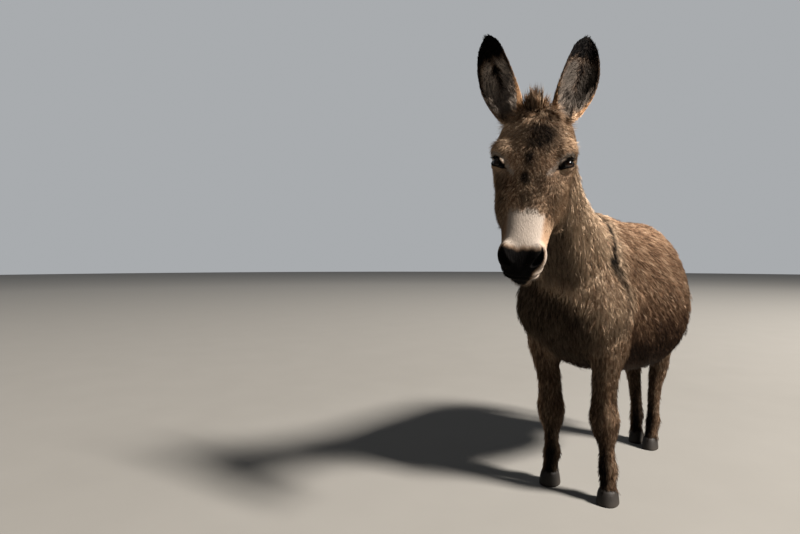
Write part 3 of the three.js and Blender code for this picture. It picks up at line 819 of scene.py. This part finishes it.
# Painted shade: the legs are darker on their inner sides and, below the knee, in front, where they lie in
# shade.
shin_painted_shade = (0.1 + 0.15 * smooth_step(normals[:, 1], -0.3, -0.9)) * smooth_step(height, 330, 120)
leg_painted_shade = legs * (0.74 - 0.54 * smooth_step(outwards, 0.0, 0.8) + shin_painted_shade)
dark = np.maximum.reduce([face_dark_and_shade, (trunk + neck) * cross, 0.7 * (trunk + tail) * back_line, 0.88 * chest_painted_shade,
                          0.8 * throat_painted_shade, 0.5 * belly_painted_shade, 0.8 * legs * bars, leg_painted_shade])
warm = 0.4 * np.maximum(head * smooth_step(aside, 60, 100), head * smooth_step(down_face, 60, 10))
warm = np.maximum(warm, 0.6 * below_eye)
poll = head * bump(q, (-10, 20, 12), (66, 70, 46))
temple = head * bump(q, (-54, -10, -84), (34, 60, 50))  # the right one is fair
pale = np.maximum(pale, 0.15 * poll)
dark = dark * (1 - 0.8 * poll) * (1 - 0.7 * temple)
# Neck, shoulders and cheeks paler, partly sun-bleached and partly painted light where the light falls on
# them, and the lower half of the barrel darker as painted shade. 0 is the darkest hair and 1 the palest.
flank = trunk * smooth_step(fold, 10, 70)
bleach_light_and_shade = 0.5 + 0.55 * neck + 0.45 * (trunk - flank) + 0.18 * head + 0.2 * head * smooth_step(aside, 60, 90)
bleach_light_and_shade += 0.2 * poll + 0.3 * temple + 0.15 * legs - 0.5 * flank * smooth_step(height, 760, 560)
# Each ear has a dark tip and rim, and pale hair inside that parts along a ragged dark cleft.
for pose, (local, v, within, _), ear_share in zip(EARS.values(), ears.values(), share[8:]):
    half_angle, bow = through(EAR_LEAF, np.clip(v, 0, 1)).T[2:]
    swing = np.abs(np.arctan2(local[:, 0] - pose[0] * bow, np.maximum(local[:, 1], 1e-3)))
    rim = smooth_step(swing, np.radians(half_angle) * 0.76, np.radians(half_angle) * 0.92)
    tip = smooth_step(v + 0.02 * np.sin(local[:, 0] / 5), 0.67, 0.78)
    ragged = 0.42 + 0.16 * np.sin(23 * v) + 0.12 * np.sin(51 * v + 2)
    cleft = within * smooth_step(ragged - swing, -0.15, 0.15) * smooth_step(v, 0.3, 0.42) * (1 - tip)
    # Lining: the inside's dark, far stronger in the left ear as painted shade and hardly there in the right.
    lining_and_shade = (0.42 + 0.38 * pose[0]) * within * smooth_step(v, -0.1, 0.3)
    dark = np.maximum(dark, ear_share * np.maximum.reduce([tip, 0.9 * rim, cleft, lining_and_shade]))
    pale = np.maximum(pale, 0.9 * ear_share * within * (1 - rim) * (1 - tip) * (1 - cleft))
    warm = np.maximum(warm, ear_share * ~within * (1 - tip))
dark = np.maximum(dark, np.maximum(nose, lids))
pale = pale * (1 - np.maximum(nose, lids))
marks_and_shade = np.stack([dark, pale, warm, bleach_light_and_shade], 1)

# Length, width and lift (how steeply it leaves the skin) of the tufts, in mm.
both_sides = columns(np.abs(head_left), head_back, -down_face)
brow = head * bump(both_sides, (96, 8, -118), (30, 40, 20))
cheek_edge = head * bump(both_sides, (92, 40, -285), (30, 42, 75))
ear_mouth = np.maximum(*[within * smooth_step(v, 0.8, 0.3) for _, v, within, _ in ears.values()])
hair_length = by_part(trunk=36, neck=41, head=14, tail=26, leg=24, ear=12)
hair_length *= 1 - 0.25 * trunk * smooth_step(height, 980, 1080)
hair_length += 18 * trunk * smooth_step(height, 540, 430)
hair_length += legs * 9 * smooth_step(height, 330, 520) + legs * 9 * ridge(height, 68, 24)
hair_length += head * (9 * bump(q, (0, -20, -70), (70, 60, 60)) + 16 * smooth_step(head_back, 50, 140))
hair_length += 17 * cheek_edge - 20 * (trunk + neck) * cross
hair_length -= head * 8 * smooth_step(down_face, 300, 350) * (1 - 0.8 * smooth_step(head_back, 90, 125))
hair_length += 11 * brow + 9 * chin_hair - head * 7 * smooth_step(eye_edge, 24, 7)
hair_length = np.maximum(hair_length, 3.0) + 16 * share[8:].sum(0) * ear_mouth
hair_width = by_part(trunk=2.1, neck=1.9, head=1.2, tail=2.4, leg=1.6, ear=1.3)
hair_width *= 1 - 0.2 * head * smooth_step(down_face, 320, 400)
hair_lift = by_part(trunk=0.38, neck=0.38, head=0.36, tail=0.25, leg=0.42, ear=0.28)
hair_lift += 0.25 * brow + 0.45 * cheek_edge + 0.35 * legs * ridge(height, 56, 18)
hair_lift *= (1 - 0.8 * head * smooth_step(down_face, 295, 345)) * (1 - 0.5 * smooth_step(eye_edge, 16, 5))
haired = smooth_step(eye_edge, 3.5, 5.5) * smooth_step(nostril_edge, 1.0, 3.0) * (height > 46)
haired *= 1 - 0.35 * nose

# ---- Hide under the hair ----
# The skin of the whole animal, coloured as the coat that hides it, with the short flat hair of the nose in
# relief. Under the hair it is dimmed like a hair's root, as painted shade in the gaps of the coat. Donkey
# hair is a dull fibre with a dark root, a brown middle, a bleached tip and hardly any gloss.

BROWNS = ((0.0, "2e2019"), (0.3, "614938"), (0.6, "92745c"), (1.0, "cbb196"))  # from root brown to bleached
# BLACK is laid on by the dark mark: the black nose, lids and ear tips, and painted shade.
WARM, PALE, BLACK = "a57c55", "8a8077", "070606"


def hair_material(name, roughness, gloss):
    """Brown by tone and a cloudy noise, then warm, pale and black where marked (the black also paints shade),
    and dimmer at the root, for the hair's dark root and painted shade deep in the coat.
    """
    made, tree, shader = material(name)
    marks_and_shade, along, tone = (node(tree, "ShaderNodeAttribute", attribute_name=kind).outputs
                          for kind in ("marks_and_shade", "along", "tone"))
    mark = node(tree, "ShaderNodeSeparateColor", {"Color": marks_and_shade["Color"]}).outputs
    spot = node(tree, "ShaderNodeTexCoord")
    cloud = node(tree, "ShaderNodeTexNoise", {"Vector": spot.outputs["Object"], "Scale": 14.0, "Detail": 5.0,
                                              "Roughness": 0.62})
    shade = node(tree, "ShaderNodeMath", {0: tone["Fac"], 1: cloud.outputs["Fac"]}, operation="ADD")
    ramp = node(tree, "ShaderNodeMapRange", {"Value": shade.outputs[0], "From Min": 0.45, "From Max": 1.6})
    brown = node(tree, "ShaderNodeValToRGB", {"Fac": ramp.outputs["Result"]})
    for n, (at, tint) in enumerate(BROWNS):
        stop = brown.color_ramp.elements[n] if n < 2 else brown.color_ramp.elements.new(at)
        stop.position, stop.color = at, linear(tint)
    half_warm = node(tree, "ShaderNodeMath", {0: mark["Blue"], 1: 0.5}, operation="MULTIPLY")
    colour = brown.outputs["Color"]
    for tint, amount in ((WARM, half_warm.outputs[0]), (PALE, mark["Green"]), (BLACK, mark["Red"])):
        colour = node(tree, "ShaderNodeMix", {"Factor": amount, "A": colour, "B": linear(tint)},
                      data_type="RGBA").outputs["Result"]
    # Dimmer towards the root: the hair's own dark root and painted shade deep in the coat. Pale hair is
    # dimmed less.
    root_dark_and_shade = node(tree, "ShaderNodeMath", {0: mark["Green"], 1: 0.7, 2: 0.28}, operation="MULTIPLY_ADD")
    root = node(tree, "ShaderNodeMapRange", {"Value": along["Fac"], "From Max": 0.8,
                                             "To Min": root_dark_and_shade.outputs[0], "To Max": 1.15})
    dim = node(tree, "ShaderNodeMix", {"Factor": 1.0, "A": colour, "B": root.outputs["Result"]},
               data_type="RGBA", blend_type="MULTIPLY")
    tree.links.new(dim.outputs["Result"], shader.inputs["Base Color"])
    shader.inputs["Roughness"].default_value = roughness
    shader.inputs["Specular IOR Level"].default_value = gloss
    return made, tree, shader


def give(mesh, name, values):
    """Stores one number or one colour per vertex under a name that the materials read."""
    kind, field = ("FLOAT", "value") if values.ndim == 1 else ("FLOAT_COLOR", "color")
    if values.ndim == 2:
        values = np.concatenate([values, np.ones((len(values), 1))], 1)
    held = mesh.attributes.new(name, kind, "POINT")
    held.data.foreach_set(field, np.ascontiguousarray(values, np.float32).ravel())


hide = mesh_object("hide", points, triangles)
give(hide.data, "marks_and_shade", marks_and_shade[:, :3])
# along is low under the hair, which dims the hide there as painted shade in the coat's gaps; bare skin and
# the muzzle are dimmed less.
give(hide.data, "along", 0.12 + 0.75 * (1 - haired) + 0.25 * head * smooth_step(down_face, 330, 400))
give(hide.data, "tone", bleach_light_and_shade)
# Fine short hair in relief, drawn coarser than the real 0.1 mm fibres so that it shows.
hide_finish, tree, shader = hair_material("Donkey hide under the hair", 0.8, 0.03)
spot = node(tree, "ShaderNodeTexCoord")
drawn_out = node(tree, "ShaderNodeMapping", {"Vector": spot.outputs["Object"], "Scale": (420.0, 420.0, 60.0)})
strands = node(tree, "ShaderNodeTexNoise", {"Scale": 1.0, "Detail": 4.0, "Vector": drawn_out.outputs[0]})
relief = node(tree, "ShaderNodeBump", {"Height": strands.outputs["Fac"], "Strength": 0.8, "Distance": 0.002})
tree.links.new(relief.outputs["Normal"], shader.inputs["Normal"])
hide.data.materials.append(hide_finish)
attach(hide, "root")
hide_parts("trunk", "neck", "head", "muzzle", "tail", "ear_left", "ear_right",
            *[f"{leg}_{part}" for leg in LEGS for part in ("upper", "lower")])

# ---- Coat ----
# Thousands of small tufts, each a closed three-sided sliver that starts under the skin, leaves it at its lift
# and bends along the lie. Neighbours lean together to the tip of one of them, which makes the shaggy locks.

GIRTHS = (0.8, 1.0, 0.75, 0.5)  # how thick a tuft is at each of its rings, from the root
hair_finish = hair_material("Donkey winter coat", 0.7, 0.04)[0]  # dull: light catches only the upper edges


def nearest(points, centres):
    """For each point, the number of the nearest centre, in blocks of rows."""
    found = []
    for block in np.array_split(points, max(1, len(points) * len(centres) // 20_000_000)):
        found.append(np.argmin(np.sum(centres ** 2, 1) - 2 * block @ centres.T, 1))
    return np.concatenate(found)


def tufts(name, root, normal, lie, length, width, lift, marks_and_shade, chart, rng, lock=11, hold=0.7, stray=0.17,
          rings=2, curl=0.05, grizzle=0.08, uneven=0.18):
    """Slivers of hair, one at each root. At t from 0 to 1 along a hair, its middle is
    root + lie * length * (0.85 t + 0.15 t^2) + normal * lift * length * (1.7 t - t^2) + a side wave of curl,
    drawn towards the same point of its lock's leader by hold * t^1.3. lock is how many hairs share a leader.
    grizzle is how much single hairs and locks differ in dark marking, and uneven in tone."""
    count = len(root)
    leaders = np.arange(max(1, count // lock))
    leader = nearest(root, root[leaders])
    swing = rng.normal(0, stray, count) * 0.6 + rng.normal(0, stray, count)[leader]
    side = unit(np.cross(normal, lie))
    ahead = np.cross(side, normal)
    ahead = ahead * np.cos(swing)[:, None] + side * np.sin(swing)[:, None]
    side = np.cross(normal, ahead)
    long = length * rng.uniform(0.78, 1.15, count) * rng.uniform(0.85, 1.2, count)[leader] * MM
    rise = lift * rng.uniform(0.7, 1.35, count) * rng.uniform(0.75, 1.25, count)[leader]
    thick = width * rng.uniform(0.7, 1.2, count) * MM
    phase, waves = rng.uniform(0, 2 * np.pi, count)[leader], rng.uniform(0.5, 1.1, count)
    t = np.append(np.arange(rings) / rings, 1.0)[:, None]
    run, up = 0.85 * t + 0.15 * t ** 2, 1.7 * t - 1.0 * t ** 2
    wave = curl * t * np.sin(2 * np.pi * waves * t + phase)
    path = (root + (-0.05 + run[..., None]) * (long[:, None] * ahead)
            + (up * rise * long)[..., None] * normal - 0.06 * long[:, None] * normal
            + (wave * long)[..., None] * side)
    path = path + (hold * t ** 1.3)[..., None] * (path[:, leader] - path)
    girth = (thick * np.array(GIRTHS[:rings])[:, None])[..., None]
    corners = np.stack([path[:-1] - girth / 2 * side, path[:-1] + girth / 2 * side,
                        path[:-1] + girth * 0.42 * normal], 2)  # ring, hair, corner, xyz
    spots = np.concatenate([corners.transpose(1, 0, 2, 3).reshape(count, -1, 3), path[-1][:, None]], 1)
    each = rings * 3 + 1
    net = [(0, 2, 1)]
    for ring in range(rings - 1):
        for k in range(3):
            a, b = ring * 3 + k, ring * 3 + (k + 1) % 3
            net += [(a, b, b + 3), (a, b + 3, a + 3)]
    net += [(each - 4 + k, each - 4 + (k + 1) % 3, each - 1) for k in range(3)]
    faces = (np.array(net)[None] + each * np.arange(count)[:, None, None]).reshape(-1, 3)
    made = mesh_object(name, spots.reshape(-1, 3), faces)
    along = np.append(np.repeat(t[:-1, 0], 3), 1.0)
    give(made.data, "along", np.tile(along, count))
    tone = marks_and_shade[:, 3] + rng.normal(0, uneven, count) + rng.normal(0, 0.14, count)[leader]
    give(made.data, "tone", np.repeat(np.clip(tone, 0, 1.3), each))
    speckle = rng.normal(0, grizzle, count) + rng.normal(0, grizzle, count)[leader]
    speckle *= (1 - 0.8 * marks_and_shade[:, 1]) * (1 - 0.8 * marks_and_shade[:, 0])
    marks_and_shade = marks_and_shade[:, :3] + speckle[:, None] * (1, 0, 0)
    give(made.data, "marks_and_shade", np.repeat(np.clip(marks_and_shade, 0, 1), each, 0))
    # Chart for baking: each tuft is a small patch, where its root lies along and round its part.
    patch = np.stack([np.append(np.tile((-0.5, 0.5, 0.0), rings), 0.0), along - 0.5], 1) * 0.003
    low, high = chart.min(0), chart.max(0)
    chart = 0.01 + 0.98 * (chart - low) / np.maximum(high - low, 1e-6)
    corner_uv = (chart[:, None] + patch[None]).reshape(-1, 2)[faces.ravel()]
    layer = made.data.uv_layers.new(name="OFBake")
    layer.data.foreach_set("uv", np.ascontiguousarray(corner_uv, np.float32).ravel())
    made.data.materials.append(hair_finish)
    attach(made, "root")
    return made


corner = points[triangles]
facet_area = np.linalg.norm(np.cross(corner[:, 1] - corner[:, 0], corner[:, 2] - corner[:, 0]), axis=1) / 2
owner = share[:, triangles].mean(-1).argmax(0)
at_facet = from_shoulder(corner.mean(1))
# Tufts per square metre: straight ones that fill the coat, and longer bent ones that break its outline.
FILL = {"trunk": 80e3, "neck": 130e3, "head": 285e3, "tail": 100e3, "leg": 108e3, "ear": 180e3}
GUARD = {"trunk": 4e3, "neck": 6e3}


def strew(chosen, per_area, density, rng):
    """Random roots on the chosen triangles, thicker where density (one number per vertex) is more. Gives a
    function that reads an array of the hide's vertices at the roots."""
    want = np.where(chosen, facet_area * per_area * density[triangles].mean(1), 0)
    count = int(want.sum())
    found = np.searchsorted(np.cumsum(want), rng.uniform(0, want.sum(), count))
    u, v = rng.uniform(0, 1, (2, count))
    u, v = np.where(u + v > 1, 1 - u, u), np.where(u + v > 1, 1 - v, v)
    weight = np.stack([1 - u - v, u, v], 1)
    return lambda values: np.einsum("nk,nk...->n...", weight, values[triangles[found]])


def coat_over(name, part, chosen, seed, per_area, density=haired, slot="coat", longer=1.0, wider=1.0,
              lift=hair_lift, **style):
    """One piece of the coat over the triangles chosen from one part of the hide."""
    rng = np.random.default_rng(seed)
    number = PARTS.index(part)
    at = strew(chosen & (owner == number), per_area, density, rng)
    turned = at(np.stack([np.cos(chart_angle[number]), np.sin(chart_angle[number])], 1))
    chart = np.stack([np.arctan2(turned[:, 1], turned[:, 0]), at(chart_along[number])], 1)
    made = tufts(name, at(points), unit(at(normals)), at(lie), longer * at(hair_length),
                 wider * at(hair_width), at(lift), at(marks_and_shade), chart, rng, **style)
    return made


ear_turns = [np.where(within, 1, -1) * np.arctan2(local[:, 0], local[:, 1] + 5)
             for local, _, within, _ in ears.values()]
chart_along = np.concatenate([along, [v for _, v, _, _ in ears.values()]])
chart_angle = np.concatenate([angle, ear_turns])
everywhere = np.ones(len(triangles), bool)
left, fore = at_facet[:, 0] > 0, at_facet[:, 1] < -20
quarters = {"fore_left": left & fore, "fore_right": ~left & fore,
            "hind_left": left & ~fore, "hind_right": ~left & ~fore}
filling = {"rings": 1, "hold": 0.5}
long_hairs = {"longer": 1.15, "wider": 0.9, "lock": 5}
for seed, (name, chosen) in enumerate(quarters.items()):
    coat_over(f"coat_trunk_{name}", "trunk", chosen, 10 + seed, FILL["trunk"], lock=9, **filling)
    coat_over(f"guard_trunk_{name}", "trunk", chosen, 15 + seed, GUARD["trunk"], **long_hairs)
face_left = world_to_head(corner.mean(1))[:, 0] > 0
crest_y, crest_x = np.array(NECK, float)[::-1, [0, 5]].T
neck_left = at_facet[:, 0] > np.interp(at_facet[:, 1], crest_y, crest_x)
halves = {"left": (face_left, neck_left), "right": (~face_left, ~neck_left)}
for seed, (name, (half_face, half_neck)) in enumerate(halves.items()):
    coat_over(f"coat_neck_{name}", "neck", half_neck, 20 + seed, FILL["neck"], rings=1, lock=10, hold=0.55)
    coat_over(f"guard_neck_{name}", "neck", half_neck, 25 + seed, GUARD["neck"], **long_hairs)
    coat_over(f"coat_face_{name}", "head", half_face, 30 + seed, FILL["head"], rings=1, lock=7, hold=0.45,
              stray=0.22, grizzle=0.15, uneven=0.3)
    coat_over(f"coat_ear_{name}", f"ear_{name}", everywhere, 40 + seed, FILL["ear"], rings=1, lock=8,
              hold=0.45)
for seed, leg in enumerate(LEGS):
    coat_over(f"coat_{leg}", leg, everywhere, 50 + seed, FILL["leg"], lock=10, grizzle=0.14, **filling)
coat_over("coat_tail", "tail", everywhere, 60, FILL["tail"], rings=1)

# Forelock: tan hair that rises from the poll and falls over the forehead to both sides.
coat_over("forelock", "head", everywhere, 65, 210e3, density=poll, slot="dark_hair", longer=2.2, wider=0.8,
          lift=hair_lift + 1.2 * poll * smooth_step(down_face, 35, -20), lock=12, hold=0.45, stray=0.11,
          uneven=0.25)
# Fringes: pale hair in the mouth of each ear, longest at its base.
for seed, (name, (_, v, within, _)) in enumerate(ears.items()):
    coat_over(f"fringe_ear_{name}", f"ear_{name}", everywhere, 66 + seed, 90e3,
              density=within * smooth_step(v, 0.03, 0.1) * smooth_step(v, 0.42, 0.2), longer=1.35,
              lift=hair_lift + 0.25, lock=8, hold=0.4, stray=0.25)

# ---- Eyes ----
# Each eye is a dark brown wet globe with a horizontal pupil under a clear bulging cornea. It sits in the
# almond of the lids, so only its front shows, and a row of lashes hangs from its upper lid.

EYE_RINGS, EYE_AROUND, LASHES = 48, 64, 70
PUPIL_HALVES, IRIS_RIM = (9.5, 5.0), (13.0, 15.0)  # mm: the pupil's half sizes, and where the iris darkens
CORNEA_RISE, CORNEA_REACH = 1.4, 0.55  # mm over the globe, and radians from its pole
eye_finish, tree, shader = material("Wet eye")  # clear tear film over a blackish brown iris: one sharp glint
iris_at = node(tree, "ShaderNodeAttribute", attribute_name="iris").outputs["Vector"]
in_pupil = node(tree, "ShaderNodeVectorMath", {0: iris_at, 1: (1 / PUPIL_HALVES[0], 1 / PUPIL_HALVES[1], 0)},
                operation="MULTIPLY")
from_pupil, from_axis = (node(tree, "ShaderNodeVectorMath", {0: at}, operation="LENGTH").outputs["Value"]
                         for at in (in_pupil.outputs[0], iris_at))
pupil_edge = node(tree, "ShaderNodeMapRange", {"Value": from_pupil, "From Min": 0.9, "From Max": 1.12})
rim = node(tree, "ShaderNodeMapRange", {"Value": from_axis, "From Min": IRIS_RIM[0], "From Max": IRIS_RIM[1]})
fibres = node(tree, "ShaderNodeTexNoise", {"Vector": iris_at, "Scale": 0.8, "Detail": 5.0})
iris = node(tree, "ShaderNodeMix", {
    "Factor": fibres.outputs["Fac"], "A": linear("0c0604"), "B": linear("20120a")}, data_type="RGBA")
ring = node(tree, "ShaderNodeMix", {
    "Factor": rim.outputs["Result"], "A": iris.outputs["Result"], "B": linear("1a130f")}, data_type="RGBA")
globe = node(tree, "ShaderNodeMix", {"Factor": pupil_edge.outputs["Result"], "A": linear("040507"),
                                     "B": ring.outputs["Result"]}, data_type="RGBA")
tree.links.new(globe.outputs["Result"], shader.inputs["Base Color"])
shader.inputs["Specular IOR Level"].default_value = 0.15
shader.inputs["Roughness"].default_value = 0.08
shader.inputs["Coat Weight"].default_value = 0.4
shader.inputs["Coat Roughness"].default_value = 0.02
shader.inputs["IOR"].default_value = 1.376  # cornea

outwards, from_pole = sphere(EYE_RINGS, EYE_AROUND)
for name, side in (("left", 1), ("right", -1)):
    # A sphere whose pole looks out, raised there by the cornea's soft ridge.
    size = EYE["radius"] - 0.3 + CORNEA_RISE * ridge(from_pole, 0, CORNEA_REACH)
    centre, axes = facing(EYE, side)
    spots, faces = shell(outwards * size[..., None])
    eye = mesh_object(f"eye_{name}_globe", place(head_to_world(spots @ axes + centre)),
                      faces[:, ::-1] if np.linalg.det(axes) < 0 else faces)
    # The iris is read from mm across the globe's axis; behind the globe's middle it counts as far away.
    give(eye.data, "iris", spots * (1, 1, 0) + (0, 0, 1) * np.minimum(spots, 0) * 3)
    eye.data.materials.append(eye_finish)
    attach(eye, "root")
    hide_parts(f"eye_{name}")

# Lashes: a sparse row of dark bristles on the edge of each upper lid, pointing out and down.
LASH_LENGTH, LASH_WIDTH, LASH_LIFT = 17.0, 0.9, -0.15  # mm, mm, share of the length
rng = np.random.default_rng(70)
for name, side in (("left", 1), ("right", -1)):
    centre, axes = facing(EYE, side)
    x = rng.uniform(-16, 16, LASHES)
    y = almond(x)[1] + rng.uniform(0, 2.0, LASHES)
    h = np.sqrt(np.clip((EYE["radius"] + 3.0) ** 2 - np.hypot(x, y) ** 2, 30, None))
    root = place(head_to_world(np.stack([x, y, h], 1) @ axes + centre))
    lash_lie = unit((columns(0.012 * x, -0.35, 1) @ axes) @ HEAD_AXES.T)
    up = unit(laid_on(np.broadcast_to(axes[1] @ HEAD_AXES.T, root.shape), lash_lie))
    length, width, lift = np.tile((LASH_LENGTH, LASH_WIDTH, LASH_LIFT), (LASHES, 1)).T
    lash_marks = np.tile((1.0, 0.0, 0.0, 0.3), (LASHES, 1))
    lashes = tufts(f"lashes_{name}", root, up, lash_lie, length, width, lift, lash_marks, np.stack([x, y], 1),
                   rng, lock=3, hold=0.25, rings=3)

# ---- Hooves ----
# Upright, narrow and boxy horn boots with growth rings, worn at the ground edge, and flat below. The hair of
# the coronet hangs over their top edge.

# Sections of a hoof: z, toe forward, heel back, wider than the foot above by, in mm.
HOOF = [(56, 16, -16, -15), (48, 6, -6, -6), (22, -3, -1, -1), (-12, -9, 3, 2)]
RING_PITCH, RING_DEPTH, RINGS_FROM, RINGS_TO = 6.5, 0.004, 4, 48  # mm, share of the width, mm, mm
horn, tree, shader = material("Hoof horn")  # keratin: matt grey-brown with fine upright grain and chalky wear
spot = node(tree, "ShaderNodeTexCoord").outputs["Object"]
upright = node(tree, "ShaderNodeMapping", {"Vector": spot, "Scale": (6.0, 6.0, 0.5)})
grain = node(tree, "ShaderNodeTexNoise", {"Scale": 60.0, "Detail": 4.0, "Vector": upright.outputs[0]})
above_floor = node(tree, "ShaderNodeSeparateXYZ", {"Vector": spot}).outputs["Z"]
worn = node(tree, "ShaderNodeMapRange", {"Value": above_floor, "From Min": 0.0, "From Max": 0.03,
                                         "To Min": 1.0, "To Max": 0.0})
dust = node(tree, "ShaderNodeTexNoise", {"Vector": spot, "Scale": 35.0, "Detail": 5.0})
chalk = node(tree, "ShaderNodeMath", {
    0: worn.outputs["Result"], 1: dust.outputs["Fac"]}, operation="MULTIPLY")
base = node(tree, "ShaderNodeMix", {
    "Factor": grain.outputs["Fac"], "A": linear("0f0d0b"), "B": linear("25201c")}, data_type="RGBA")
horn_colour = node(tree, "ShaderNodeMix", {
    "Factor": chalk.outputs[0], "A": base.outputs["Result"], "B": linear("332d27")}, data_type="RGBA")
growth = node(tree, "ShaderNodeTexWave", {
    "Vector": spot, "Scale": 45.0, "Distortion": 1.5}, bands_direction="Z")
relief = node(tree, "ShaderNodeMath", {0: growth.outputs["Fac"], 1: grain.outputs["Fac"]}, operation="ADD")
raised = node(tree, "ShaderNodeBump", {"Height": relief.outputs[0], "Strength": 0.2, "Distance": 0.0006})
tree.links.new(horn_colour.outputs["Result"], shader.inputs["Base Color"])
tree.links.new(raised.outputs["Normal"], shader.inputs["Normal"])
shader.inputs["Roughness"].default_value = 0.65
shader.inputs["Specular IOR Level"].default_value = 0.3

for leg, pose in LEGS.items():
    foot = leg_rows(*pose)[-1]
    z, toe, heel, flare = np.array(HOOF, float).T
    toe_line = columns(foot[0], foot[1] + toe, z)
    heel_line = columns(foot[3], foot[4] + heel, z)
    grid = loft(sections(toe_line, heel_line, (1, 0, 0), foot[9] + flare, 0.5, 2.3, 2.6), rings=56, around=64,
                start=0.06, end=0.2)
    middle, z = grid.mean(1, keepdims=True)[..., :2], grid[..., 2:]
    ripple = 1 + RING_DEPTH * np.sin(2 * np.pi * z / RING_PITCH) * (z > RINGS_FROM) * (z < RINGS_TO)
    grid[..., :2] = middle + (grid[..., :2] - middle) * ripple
    grid[..., 2] = np.maximum(grid[..., 2], 0)
    hoof = mesh_object(f"hoof_{leg}", *shell(place(grid)))
    hoof.data.materials.append(horn)
    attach(hoof, "root")
    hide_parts(f"{leg}_hoof")

# ---- Mane ----
# Coarse short hair that grows from the crest of the neck. It stands up, is darkest in its middle, and tips
# forwards in a few spikes between the ears.

MANE_HAIRS, MANE_ROOT, MANE_WIDTH = 3400, 24, 2.8  # mm under the crest, mm
# Crest that it grows from: y, z, x, height of the hair, half width, in mm.
MANE = [(-200, 1056, 0, 30, 16), (-320, 1084, 8, 46, 18), (-460, 1140, 30, 58, 20), (-590, 1212, 54, 66, 22),
        (-710, 1294, 80, 74, 26), (-796, 1348, 92, 72, 30), (-830, 1352, 100, 52, 26)]

rng = np.random.default_rng(80)
v = rng.uniform(0, 1, MANE_HAIRS)
y, z, x, tall, half = through(MANE, v).T
off = rng.normal(0, 0.36, MANE_HAIRS)
root = place(columns(x + off * half, y, z - MANE_ROOT - 5 * off ** 2))
stand = unit(columns(0.35 * off + 0.12, -0.1 - 0.55 * smooth_step(v, 0.86, 1.0), 1))
pale_edge = smooth_step(np.abs(off), 0.35, 0.9)
in_front = smooth_step(v, 0.86, 0.97)
mane_marks = columns(0.85 - 0.55 * np.maximum(pale_edge, 0.5 * in_front), 0, 0.6 * pale_edge, 0.5)
spiky = 0.72 + 0.2 * np.sin(61 * v) * np.sin(23 * v + 1) + rng.uniform(-0.12, 0.16, MANE_HAIRS)
mane = tufts("mane_hair", root, unit(laid_on(np.array((0.2, 1, 0)), stand)), stand,
             (tall + 22) * (1 - 0.3 * np.abs(off)) * spiky, np.full(MANE_HAIRS, MANE_WIDTH),
             rng.normal(0, 0.14, MANE_HAIRS), mane_marks, np.stack([v, off], 1), rng, lock=12, hold=0.55,
             stray=0.16, rings=3)
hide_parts("mane")

# ---- Tail tuft ----
# Long coarse hair round the lower part of the dock. It is short and brown where it starts, longer and darker
# further down, and hangs straight.

TAIL_HAIRS, TAIL_WIDTH = 2400, 3.6  # mm
ROOTS_FROM, ROOTS_OVER = 548, 330  # mm: the height of the lowest roots, and how far up they go from there
TIPS_LOW, TIPS_HIGH = 325, 440  # mm: heights of the hanging tips

z = ROOTS_FROM + ROOTS_OVER * rng.uniform(0, 1, TAIL_HAIRS) ** 1.7
turned = rng.uniform(0, 2 * np.pi, TAIL_HAIRS)
dock = np.array(DOCK, float)[::-1].T
front, rear, half = (np.interp(z, dock[0], dock[n]) for n in (1, 2, 3))
reach = np.sqrt(rng.uniform(0.05, 1, TAIL_HAIRS)) * 0.8
x, y = np.cos(turned) * half * reach, (front + rear) / 2 + np.sin(turned) * (rear - front) / 2 * reach
long = (z - rng.uniform(TIPS_LOW, TIPS_HIGH, TAIL_HAIRS)) * np.interp(z, (680, 760, 880), (1, 0.5, 0.12))
lift = rng.uniform(0.02, 0.09, TAIL_HAIRS) + 0.1 * (z > 760)
tail_marks = columns(np.interp(z, (690, 860), (0.75, 0.3)), 0, 0.2, 0.5)
tail_tuft = tufts("tail_tuft_hair", place(columns(x, y, z)), columns(np.cos(turned), np.sin(turned), 0),
                  columns(0 * z, 0, -1), long, np.full(TAIL_HAIRS, TAIL_WIDTH), lift, tail_marks,
                  np.stack([turned, z], 1), rng, lock=14, hold=0.5, stray=0.035, rings=3, curl=0.03)
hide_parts("tail_tuft")
